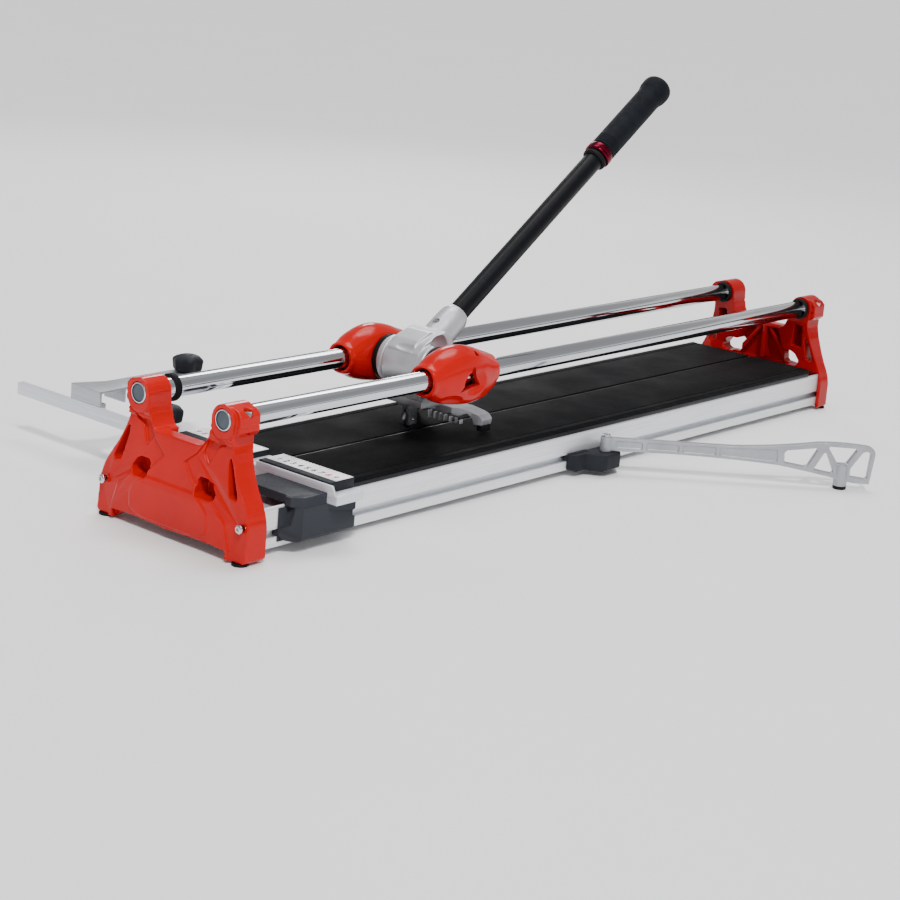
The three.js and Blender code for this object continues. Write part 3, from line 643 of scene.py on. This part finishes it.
def bed():
    refined("base_extrusion", "base_channel", "base", EXTRUDED, 0.5)
    low, high = span("breaking_ridge")
    shoulder, crest = high.z - 3.4, high.z - 0.8
    ridge = [(-RIDGE_HALF, low.z), (RIDGE_HALF, low.z), (RIDGE_HALF, shoulder), (0.3, crest), (-0.3, crest),
             (-RIDGE_HALF, shoulder)]
    bar = prism(ridge, "x", low.x, high.x)
    finished(bevelled(bar, 0.15), "breaking_bar", "base", DARK_STEEL, "breaking_ridge")
    groove_at, groove_half, groove_deep = 86, 0.9, 1.3
    for name, side in SIDES:
        body = f"bed_{name}"
        refined(f"bed_board_{name}", f"bed_panel_{name}", body, BED_PANEL, 0.5)
        low, high = span(f"bed_rubber_{name}")
        inner, outer = sorted((abs(low.y), abs(high.y)))
        bottom, top = low.z, high.z
        outline = [(inner, bottom), (outer, bottom)] + arc((outer - 1.6, top - 1.6), 1.6, 0, 90, 5)
        outline += [(groove_at + groove_half, top), (groove_at + 0.4, top - groove_deep),
                    (groove_at - 0.4, top - groove_deep), (groove_at - groove_half, top)]
        outline += arc((inner + 0.8, top - 0.8), 0.8, 90, 180, 4)
        sheet = prism(sided(outline, side), "x", low.x, high.x)
        finished(bevelled(sheet, 0.35, 2, 50), f"bed_mat_{name}", body, BED_TOP,
                 f"bed_rubber_{name}")
        for i in (1, 2):
            node = f"bed_spring_{name}_{i}"
            coil = finished(copy_of(node), f"coil_spring_{name}_{i}", body, ZINC, node)
            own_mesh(coil)
    low, high = span("bed_rubber_far")
    lip = block((low.x - 2, high.x + 2), (high.y + 0.3, high.y + 1.5), (49.6, high.z + 0.2))
    finished(bevelled(lip, 0.3), "bed_edge_strip", "base", EXTRUDED)


# ---------------------------------------------------------------- carriage
COWL_LOW, COWL_HIGH = span("carriage_cowl_near")
COWL_TOP = smooth_through([(280, 147), (291, 151), (310, 164), (335, 171.5), (360, 169), (384, 161),
                           (402, 154.5), (412, 150)])
COWL_BOTTOM = smooth_through([(280, 122), (291, 120.5), (310, 111), (335, 105), (362, 102.5), (382, 106),
                              (402, 117.5), (412, 122)])
COWL_WIDTH = smooth_through([(280, 16), (291, 17.5), (312, 22), (338, 24.8), (362, 24.5), (385, 20.5),
                             (402, 17.2), (412, 15)])
COWL_WINDOW = [(330, 123), (366, 127), (348, 152)]
COWL_NOTCH = [(355, 161), (363, 160), (359, 166)]
COWL_INNER, COWL_OUTER, COWL_BORE = 40, 120, 14.5
COWL_STATIONS, COWL_AROUND = 70, 96
# Scoops: centre (x, distance from the middle, z) and radii. Facets: a point on each and the way it faces.
COWL_SCOOPS = [((354, 97, 130), (27, 16.5, 23)), ((318, 84, 108), (24, 15, 13))]
COWL_FACETS = [((380, 76, 157), (0.34, 0.62, 0.71)), ((392, 78, 118), (0.55, 0.55, -0.45)),
               ((320, 77, 166), (-0.42, 0.5, 0.75))]
AXLE_BORE_R = 6.4
WIPER_AND_SHADE_RING_R = 14.2
# Where each cowl's black rubber ring starts and how long it is: a wiper, and painted shade for the dark mouth
# of the cowl.
WIPERS_AND_MOUTH_SHADE = {"front": (297, 6.6), "rear": (399.4, 2.4)}
TOOTH_COUNT, TOOTH_START, TOOTH_STEP = 7, 13, 5.4


def loft(rings):
    """A solid through rings of points, closed at both ends."""
    count = len(rings[0])
    vertices = [point for points in rings for point in points]
    faces = [list(range(count)), list(range(len(vertices) - count, len(vertices)))]
    for start in range(0, len(vertices) - count, count):
        for i in range(count):
            j = (i + 1) % count
            faces.append((start + i, start + j, start + count + j, start + count + i))
    return make("part", vertices, faces)


def ellipsoid(centre, radii, sides=48):
    profile = [(math.sin(math.radians(a)), math.cos(math.radians(a)) if abs(a) < 90 else 0)
               for a in range(-90, 91, 6)]
    made = lathe(profile, "z", (0, 0), sides)
    made.data.transform(Matrix.Translation(centre) @ Matrix.Diagonal((*radii, 1)))
    return made


def slab(point, normal, reach=60, depth=40):
    """A block whose face passes through a point, to cut away all that lies beyond it."""
    made = block((-reach, reach), (-reach, reach), (0, depth))
    turn = Vector(normal).to_track_quat("Z", "Y").to_matrix().to_4x4()
    made.data.transform(Matrix.Translation(point) @ turn)
    return made


def across(side, x, y, z):
    """A point or direction given for the far side, on the side asked for."""
    return (x, side * y, z)


def cowl(side):
    """One cowl: a swelling shell round its rod, scooped and faceted, with a window in its outer flank."""
    rings = []
    for i in range(COWL_STATIONS + 1):
        x = COWL_LOW.x + (COWL_HIGH.x - COWL_LOW.x) * i / COWL_STATIONS
        top, bottom, width = COWL_TOP(x), COWL_BOTTOM(x), COWL_WIDTH(x)
        lip = 1.3 * math.exp(-((x - COWL_LOW.x - 2) / 3.2) ** 2)
        points = []
        for k in range(COWL_AROUND):
            turn = 2 * math.pi * k / COWL_AROUND
            out, up = math.cos(turn), math.sin(turn)
            squared = max(abs(out), abs(up)) ** 0.18
            y = side * ROD_Y + (width + lip) / squared * out
            points.append((x, y, (top + bottom) / 2 + ((top - bottom) / 2 + lip) / squared * up * 0.985))
        rings.append(points)
    shell = loft(rings)
    body_y, flank_y, notch_y, bore_y = (
        sorted((side * a, side * b))
        for a, b in ((COWL_INNER, COWL_OUTER), (ROD_Y + 4, COWL_OUTER), (74, COWL_OUTER), (30, 46)))
    keep(shell, block((COWL_LOW.x, COWL_HIGH.x), body_y, (0, 300)))
    for centre, radii in COWL_SCOOPS:
        cut(shell, ellipsoid(across(side, *centre), radii))
    for point, facing in COWL_FACETS:
        cut(shell, slab(across(side, *point), across(side, *facing)))
    cast(shell, 0.8, 3)
    cut(shell, prism(softened(COWL_WINDOW, 3), "y", *flank_y))
    cut(shell, prism(softened(COWL_NOTCH, 1.5), "y", *notch_y))
    centre = (side * ROD_Y, ROD_Z)
    cut(shell, rod("x", COWL_BORE, 200, 500, centre, 128))
    start = COWL_LOW.x
    mouth = [(start - 3, 0), (start - 3, COWL_BORE + 3.4), (start + 0.2, COWL_BORE + 0.6),
             (start + 1.2, COWL_BORE - 0.2), (start + 1.2, 0)]
    cut(shell, lathe(mouth, "x", centre, 128))
    return cut(shell, rod("y", AXLE_BORE_R, *bore_y, (HUB.x, HUB.z)))


def breaker_wings():
    """The swept beam with upright ribs along its front edge."""
    wings = copy_of("breaker")
    low, _ = span("breaker")
    for _, side in SIDES:
        for i in range(TOOTH_COUNT):
            y = TOOTH_START + TOOTH_STEP * i
            back = low.x + 1.5 + (y - 10) * 0.5
            rib = [(back - 2.2, side * y), (back + 4, side * (y - 1.2)), (back + 4, side * (y + 1.2))]
            join(wings, prism(rib, "z", 75 - 0.5 * i, 84 - 1.1 * i))
    return cast(wings, 0.65, 2)


def carriage():
    for name, side in SIDES:
        finished(cowl(side), f"cowl_{name}", "carriage", RED, f"carriage_cowl_{name}", angle=50)
        refined(f"rod_bushing_{name}", f"slide_bush_{name}", "carriage", DARK_STEEL, 0.3)
        low, high = span(f"hub_seal_{name}")
        washer = round_rubber(low.y, high.y, (high.z - low.z) / 2 - 1.4, 7, 1.2, 4)
        finished(lathe(washer, "y", (HUB.x, HUB.z)), f"hub_washer_{name}", "carriage", SOFT_RUBBER,
                 f"hub_seal_{name}")
        for end, (start, length) in WIPERS_AND_MOUTH_SHADE.items():
            # Black rubber rings in both mouths of each cowl: wipers that also serve as painted shade for the
            # mouths' dark insides.
            wiper_and_shade_ring = ring("x", WIPER_AND_SHADE_RING_R, RUBBER_RING_BORE_R, start, start + length, (side * ROD_Y, ROD_Z))
            finished(wiper_and_shade_ring, f"{end}_wiper_{name}", "carriage", SOFT_RUBBER)
    refined("handle_axle", "hub_axle", "carriage", ZINC, 0.4)
    refined("carriage_bridge", "cross_bridge", "carriage", DARK_CAST, 0.7)
    refined("wheel_pin", "wheel_axle", "carriage", ZINC, 0.3)
    refined("breaker_pin", "breaker_axle", "carriage", ZINC, 0.4)
    low, high = span("scoring_wheel")
    centre, r = ((low.x + high.x) / 2, (low.z + high.z) / 2), (high.z - low.z) / 2
    blade = [(low.y, 2.2), (low.y, r - 2.6), (low.y + 0.3, r - 2.3), (-0.15, r - 0.1), (0.15, r - 0.1),
             (high.y - 0.3, r - 2.3), (high.y, r - 2.6), (high.y, 2.2)]
    finished(lathe(blade, "y", centre), "carbide_wheel", "wheel", DARK_STEEL, "scoring_wheel")
    finished(breaker_wings(), "breaker_wings", "breaker", BRIGHT_CAST, "breaker", angle=45)
    for name, _ in SIDES:
        refined(f"breaker_pad_{name}", f"press_pad_{name}", "breaker", SOFT_RUBBER, 1.0, 3)


# ---------------------------------------------------------------- handle (its axis is +X before it is tilted)
HANDLE = Matrix.Translation(HUB) @ Matrix.Rotation(-HANDLE_RISE, 4, "Y")
TUBE_R, TUBE_START, HANDLE_LENGTH = 11.9, 36, 524
SOCKET_END, SET_SCREW_AT, SET_SCREW_R = 86, 53, 3.9
GRIP_START, GRIP_R, LOCK_RING_AT = 388, 16, 376


HUB_PROFILE = [(-33, 0), (-33, 25.2), (-31.7, 26.5), (-27, 26.5), (-26.5, 25.9), (-25.9, 25.9), (-25.4, 26.5),
               (23.4, 26.5), (24, 25.4), (25, 25.4), (25.6, 26.5), (31.7, 26.5), (33, 25.2), (33, 0)]
SOCKET_PROFILE = [(16, 0), (16, 12), (28, 16.6), (35, 17.6), (60, 17.6), (73, 17.2), (79, 16.4), (83, 14.8),
                  (SOCKET_END - 0.6, 13.6), (SOCKET_END, 13.1), (SOCKET_END, 0)]
SHOULDER = [(0, -21), (38, -16), (46, 0), (43, 17), (22, 24), (8, 27.6), (-10, 26)]
SHOULDER_FLAT = [(-8, 20), (12, 21), (34, 17), (30, 24.6), (8, 29.2), (-8, 28)]


def yoke():
    """The cast hub on the axle with the socket that takes the handle tube."""
    hub = lathe(HUB_PROFILE, "y", (0, 0))
    shoulder = prism(softened(SHOULDER, 4), "y", -24, 24)
    flat = prism(softened(SHOULDER_FLAT, 3), "y", -14, 19)
    socket = lathe(SOCKET_PROFILE, "x", (0, 0))
    body = join(hub, shoulder, flat, socket)
    cut(body, ellipsoid((24, -33, 10), (17, 15, 19)), ellipsoid((34, 34, -4), (17, 13, 16)))
    cut(body, ellipsoid((-4, -6, 36), (9, 26, 10)))
    cast(body, 0.75, 3)
    cut(body, rod("x", TUBE_R - 0.35, TUBE_START - 1, 200, (0, 0)))
    cut(body, rod("y", AXLE_BORE_R, -60, 60, (0, 0)))
    return cut(body, rod("z", SET_SCREW_R + 0.6, 0, 40, (SET_SCREW_AT, 0)))


def handle():
    finished(yoke(), "handle_casting", "handle", SILVER, "handle_yoke", HANDLE, 45)
    screw = lathe([(12, 0), (12, SET_SCREW_R), (15.6, SET_SCREW_R), (16.2, SET_SCREW_R - 0.7), (16.2, 0)], "z",
                  (SET_SCREW_AT, 0), 48)
    cut(screw, rod("z", 2.1, 13.8, 20, (SET_SCREW_AT, 0), 6))
    finished(screw, "socket_set_screw", "handle", ZINC, "handle_set_screw", HANDLE)
    end = HANDLE_LENGTH - 4.4
    tube = [(TUBE_START, 9), (TUBE_START, TUBE_R - 0.6), (SOCKET_END + 1, TUBE_R - 0.6),
            (SOCKET_END + 1.6, TUBE_R), (LOCK_RING_AT - 8, TUBE_R), (LOCK_RING_AT - 7, TUBE_R - 0.8),
            (end, TUBE_R - 0.8), (end, 9)]
    finished(lathe(tube, "x", (0, 0)), "lever_tube", "handle", ENAMEL, "handle_tube", HANDLE)
    low = LOCK_RING_AT
    collar = [(low, 11.2), (low, 14.6)] + arc((low + 2, 14.8), 2, 180, 90, 5)
    collar += [(low + 4.4, 16.8), (low + 4.8, 16.3), (low + 5.4, 16.3), (low + 5.8, 16.8)]
    collar += arc((low + 9.4, 14.8), 2, 90, 0, 5) + [(low + 11.4, 11.2)]
    finished(lathe(collar, "x", (0, 0)), "wine_lock_ring", "handle", WINE,
             "handle_lock_ring", HANDLE)
    finished(ring("x", 15.2, 11.2, low - 7, low - 0.4, (0, 0), soft=1.6), "tube_collar", "handle", SOFT_RUBBER,
             local=HANDLE)
    start = GRIP_START
    grip = [(start, 11.4), (start, 14.2), (start + 0.8, 15.2)]
    for i in range(4):
        at = start + 2 + 3.2 * i
        grip += [(at, GRIP_R), (at + 2.2, GRIP_R), (at + 2.5, GRIP_R - 0.6), (at + 2.9, GRIP_R - 0.6)]
    grip += [(start + 15, GRIP_R), (HANDLE_LENGTH - 32, GRIP_R), (HANDLE_LENGTH - 27, 16.3),
             (HANDLE_LENGTH - 22.5, 17.6), (HANDLE_LENGTH - 19, 18.4), (HANDLE_LENGTH - 14, 18.6)]
    grip += arc((HANDLE_LENGTH - 11, 7.6), 11, 90, 0, 10) + [(HANDLE_LENGTH, 0)]
    made = lathe([(start, 0)] + grip, "x", (0, 0), 96)
    cut(made, rod("x", 11.4, start - 5, HANDLE_LENGTH - 4, (0, 0)))
    finished(made, "rubber_grip", "handle", GRIP, "handle_grip", HANDLE)


# ---------------------------------------------------------------- fence, rulers and side stop
BASE_SIDE = 97
TAPE_X = (113.5, 138.8)
TICK_STEP, NUMERAL_STEP = 5, 10
NUMERAL_X, NUMERAL_SIZE, NUMERAL_START = 122, 11.5, 12
TAPE_MARGINS = (0.6, 1)
# Hand knob: height above its underside, share of its radius, and how far its lobes show.
KNOB_LEVELS = [(0, 0.84, 0.5), (0.7, 0.90, 0.7), (2, 0.93, 1), (7, 0.965, 1), (11.6, 1.0, 1), (13, 0.99, 0.9),
               (14.4, 0.94, 0.7), (16.2, 0.80, 0.35), (17.8, 0.56, 0.1), (18.6, 0.32, 0), (18.9, 0.1, 0)]
KNOB_HEIGHT, KNOB_R, KNOB_LOBES, KNOB_LOBE_DEPTH = 19, 17.2, 6, 1.4


def tape(name, low_y, high_y, top, numbers):
    """A ruler tape with ticks and numerals, the last two of them red."""
    strip = block(TAPE_X, (low_y, high_y), (top, top + 0.25))
    finished(bevelled(strip, 0.08), f"ruler_tape_{name}", "base", TAPE)
    ink = top + 0.26
    marks = []
    count = int((high_y - low_y - 4) / TICK_STEP)
    for i in range(count + 1):
        y = low_y + 2 + i * TICK_STEP
        reach = 5.5 if i % 2 == 0 else 3.2
        marks.append(((TAPE_X[1] - reach, TAPE_X[1] - 0.4), (y - 0.3, y + 0.3)))
    vertices, faces = [], []
    for (x0, x1), (y0, y1) in marks:
        first = len(vertices)
        for z in (ink - 0.05, ink + 0.03):
            vertices += [(x0, y0, z), (x1, y0, z), (x1, y1, z), (x0, y1, z)]
        faces += [[first + k for k in quad] for quad in
                  ((0, 3, 2, 1), (4, 5, 6, 7), (0, 1, 5, 4), (1, 2, 6, 5), (2, 3, 7, 6), (3, 0, 4, 7))]
    finished(make("ticks", vertices, faces), f"ruler_ticks_{name}", "base", INK_BLACK)
    for colour, material, chosen in (("black", INK_BLACK, numbers[:-2]), ("red", INK_RED, numbers[-2:])):
        finished(numerals(chosen, ink), f"ruler_{colour}_numerals_{name}", "base", material)


def numerals(chosen, height):
    """Plain numerals read from the front of the machine, as one mesh."""
    bm = bmesh.new()
    for text, y in chosen:
        data = bpy.data.curves.new("numeral", "FONT")
        data.body = text
        data.size = NUMERAL_SIZE
        data.offset = 0.28
        data.extrude = 0.04
        data.resolution_u = 3
        data.align_x, data.align_y = "CENTER", "CENTER"
        holder = bpy.data.objects.new("numeral", data)
        bpy.context.scene.collection.objects.link(holder)
        bpy.context.view_layer.update()
        graph = bpy.context.evaluated_depsgraph_get()
        mesh = bpy.data.meshes.new_from_object(holder.evaluated_get(graph))
        axes = Matrix(((0, 1, 0, NUMERAL_X), (-1, 0, 0, y), (0, 0, 1, height), (0, 0, 0, 1)))
        mesh.transform(axes)
        bm.from_mesh(mesh)
        bpy.data.objects.remove(holder)
        bpy.data.meshes.remove(mesh)
    merged = bpy.data.meshes.new("numerals")
    bm.to_mesh(merged)
    bm.free()
    made = bpy.data.objects.new("numerals", merged)
    bpy.context.scene.collection.objects.link(made)
    return made


def knob(node, name, body):
    low, high = span(node)
    centre = ((low.x + high.x) / 2, (low.y + high.y) / 2)
    top = high.z
    bottom = top - KNOB_HEIGHT
    around = 120
    rings = []
    for height, share, lobe in KNOB_LEVELS:
        points = []
        for k in range(around):
            turn = 2 * math.pi * k / around
            reach = (KNOB_R + KNOB_LOBE_DEPTH * lobe * math.cos(KNOB_LOBES * turn)) * share
            x, y = centre[0] + reach * math.cos(turn), centre[1] + reach * math.sin(turn)
            points.append((x, y, bottom + height))
        rings.append(points)
    grip = loft(rings)
    join(grip, rod("z", 9, bottom - 1.1, bottom + 1, centre), rod("z", 3.6, low.z, bottom, centre, 32))
    cut(grip, lathe([(top - 1.0, 4.6), (top - 1.0, 5.6), (top + 1, 5.6), (top + 1, 4.6)], "z", centre, 64))
    finished(grip, name, body, BLACK_PLASTIC, node, angle=38)


def clamp_block():
    """The block that grips the side slot, cut back above its lower front corner and notched behind."""
    body = copy_of("fence_block")
    low, high = span("fence_block")
    front = [(low.x - 5, 24), (low.x + 9, 30), (low.x + 12, 49), (low.x - 5, 49)]
    rounded = [(low.x - 5, low.z - 5), (low.x + 14, low.z - 5), (low.x + 12, low.z), (low.x + 4, low.z + 2),
               (low.x, low.z + 7), (low.x - 5, low.z + 8)]
    notch = [(high.x + 5, 26), (high.x - 3.5, 28), (high.x - 3.5, 34), (high.x + 5, 36)]
    for outline in (front, rounded, notch):
        cut(body, prism(outline, "y", low.y - 5, -BASE_SIDE))
    flattened(body)
    return bevelled(body, 1.2, 3)


def fence():
    refined("fence_bar", "fence_profile", "base", SHEET, 0.45)
    finished(clamp_block(), "slot_clamp_block", "base", BLACK_PLASTIC, "fence_block")
    for name, side in SIDES:
        refined(f"fence_ruler_{name}", f"ruler_bar_{name}", "base", BLACK_PLASTIC, 0.4)
        low, high = span(f"fence_ruler_{name}")
        values = [(str(i), side * (NUMERAL_START + i * NUMERAL_STEP)) for i in range(1, 10)]
        outer, inner = TAPE_MARGINS
        edges = (low.y + outer, high.y - inner) if side < 0 else (low.y + inner, high.y - outer)
        tape(name, *edges, high.z, values)
    refined("side_stop", "stop_plate", "side_stop", STOP_SHEET, 0.45)
    knob("stop_knob", "stop_hand_knob", "stop_knob")
    knob("fence_knob", "fence_hand_knob", "fence_knob")


# ---------------------------------------------------------------- support arm
ARM_TURN = math.radians(-47.5)
ARM = Matrix.Translation((*joint_point("arm_swing").xy, 0)) @ Matrix.Rotation(ARM_TURN, 4, "Z")
ARM_HALF, ARM_RECESS = 4.5, 1.7
ARM_WEB = ((20, 200), (-ARM_HALF, ARM_HALF), (31, 41.5))
ARM_POCKETS = [[(11, 32), (43, 32), (43, 40.5), (11, 40.5)], [(47, 32), (86, 32), (86, 40.6), (47, 40.6)],
               [(90, 31.6), (130, 31.2), (130, 41), (90, 40.6)],
               [(134, 31.2), (203, 28.2), (203, 43), (134, 41)]]


def arm_casting():
    """The arm with four framed pockets in each face."""
    body = copy_of("support_arm")
    body.data.transform(ARM.inverted())
    join(body, block(*ARM_WEB))
    for outline in ARM_POCKETS:
        for low in (-ARM_HALF - 1, ARM_HALF - ARM_RECESS):
            cut(body, prism(softened(outline, 3), "y", low, low + ARM_RECESS + 1))
    return cast(body, 0.6, 2)


def support_arm():
    refined("arm_bracket", "slot_bracket", "arm_bracket", BLACK_PLASTIC, 1.2, 3)
    refined("arm_pivot_bolt", "arm_bolt", "arm_bracket", ZINC, 0.5)
    finished(arm_casting(), "arm_casting", "arm", BRIGHT_CAST, "support_arm", ARM, 40)
    low, high = span("arm_foot")
    centre, r = ((low.x + high.x) / 2, (low.y + high.y) / 2), (high.x - low.x) / 2
    pad = [(low.z, 0), (low.z, r - 0.9), (low.z + 0.7, r - 0.1), (high.z - 0.3, r - 0.1),
           (high.z, r - 0.5), (high.z, 0)]
    finished(lathe(pad, "z", centre, 64), "arm_rubber_foot", "arm", SOFT_RUBBER, "arm_foot")


for build in (end_frames, end_fittings, rods, bed, carriage, handle, fence, support_arm):
    build()


# ---------------------------------------------------------------- camera, light and floor
CAMERA_AZIMUTH = math.radians(-50.73)
CAMERA_ELEVATION = math.radians(11.07)
CAMERA_ROLL = math.radians(4.73)
CAMERA_AT = (-1335.9, -1458.8, 657.1)
SENSOR, LENS = 36, 82.024
SHIFT = (-0.030889, -0.173889)


def camera():
    data = bpy.data.cameras.new("camera")
    data.sensor_width = SENSOR
    data.lens = LENS
    data.shift_x, data.shift_y = SHIFT
    data.clip_start, data.clip_end = 0.05, 50
    made = bpy.data.objects.new("camera", data)
    bpy.context.scene.collection.objects.link(made)
    az, el = CAMERA_AZIMUTH, CAMERA_ELEVATION
    back = Vector((math.sin(az) * math.cos(el), -math.cos(az) * math.cos(el), math.sin(el)))
    right = Vector((0, 0, 1)).cross(back).normalized()
    up = back.cross(right)
    turned_right = math.cos(CAMERA_ROLL) * right + math.sin(CAMERA_ROLL) * up
    turned_up = math.cos(CAMERA_ROLL) * up - math.sin(CAMERA_ROLL) * right
    axes = Matrix((turned_right, turned_up, back)).transposed().to_4x4()
    made.matrix_world = Matrix.Translation(PLACE @ Vector(CAMERA_AT)) @ axes
    bpy.context.scene.camera = made


def area_light(name, place, target, size, power):
    data = bpy.data.lights.new(name, "AREA")
    data.shape = "RECTANGLE"
    data.size, data.size_y = size
    data.energy = power
    made = bpy.data.objects.new(name, data)
    bpy.context.scene.collection.objects.link(made)
    made.location = place
    made.rotation_euler = (Vector(target) - Vector(place)).to_track_quat("-Z", "Y").to_euler()


def sun(name, towards, strength, spread):
    data = bpy.data.lights.new(name, "SUN")
    data.energy = strength
    data.angle = math.radians(spread)
    made = bpy.data.objects.new(name, data)
    bpy.context.scene.collection.objects.link(made)
    made.rotation_euler = Vector(towards).to_track_quat("Z", "Y").to_euler()


WORLD_STRENGTH = 1.25
# World brightness by height, from straight down (0) to straight up (1), with a dark band at the horizon.
WORLD_LEVELS = [(0.0, 0.9), (0.495, 0.9), (0.50, 0.08), (0.53, 0.08), (0.545, 0.85), (0.57, 0.75), (0.62, 0.36),
                (0.85, 0.30), (1.0, 0.45)]


def studio():
    world = bpy.data.worlds.new("studio")
    bpy.context.scene.world = world
    world.use_nodes = True
    nodes, links = world.node_tree.nodes, world.node_tree.links
    background = nodes["Background"]
    background.inputs["Strength"].default_value = WORLD_STRENGTH
    coordinates = nodes.new("ShaderNodeTexCoord")
    split = nodes.new("ShaderNodeSeparateXYZ")
    ramp = nodes.new("ShaderNodeValToRGB")
    while len(ramp.color_ramp.elements) < len(WORLD_LEVELS):
        ramp.color_ramp.elements.new(0.5)
    for element, (position, value) in zip(ramp.color_ramp.elements, WORLD_LEVELS):
        element.position = position
        element.color = (value, value, value, 1)
    scale = nodes.new("ShaderNodeMapRange")
    scale.inputs["From Min"].default_value = -1
    links.new(coordinates.outputs["Generated"], split.inputs["Vector"])
    links.new(split.outputs["Z"], scale.inputs["Value"])
    links.new(scale.outputs["Result"], ramp.inputs["Fac"])
    links.new(ramp.outputs["Color"], background.inputs["Color"])
    area_light("key", (-1.5, -1.8, 2.2), (0, 0, 0.1), (0.9, 0.5), 22)
    area_light("top", (0.3, 0.3, 2.4), (0, 0, 0), (1.8, 0.6), 16)
    area_light("rim", (1.6, 1.8, 1.4), (0, 0, 0.1), (0.6, 0.6), 12)
    sun("sun_key", (-0.45, -0.55, 1.0), 1.9, 6)
    sun("sun_fill", (0.5, 0.3, 1.2), 0.9, 30)

    floor = make("floor", [(-40, -40, 0), (40, -40, 0), (40, 40, 0), (-40, 40, 0)], [(0, 1, 2, 3)])
    paper = Shader("paper", 0.9)
    paper.colour(paper.ramp(paper.noise(3, 2), [(0.3, (0.93, 0.93, 0.935)), (0.7, (0.95, 0.95, 0.955))]))
    floor.data.materials.append(paper.material)


camera()
studio()
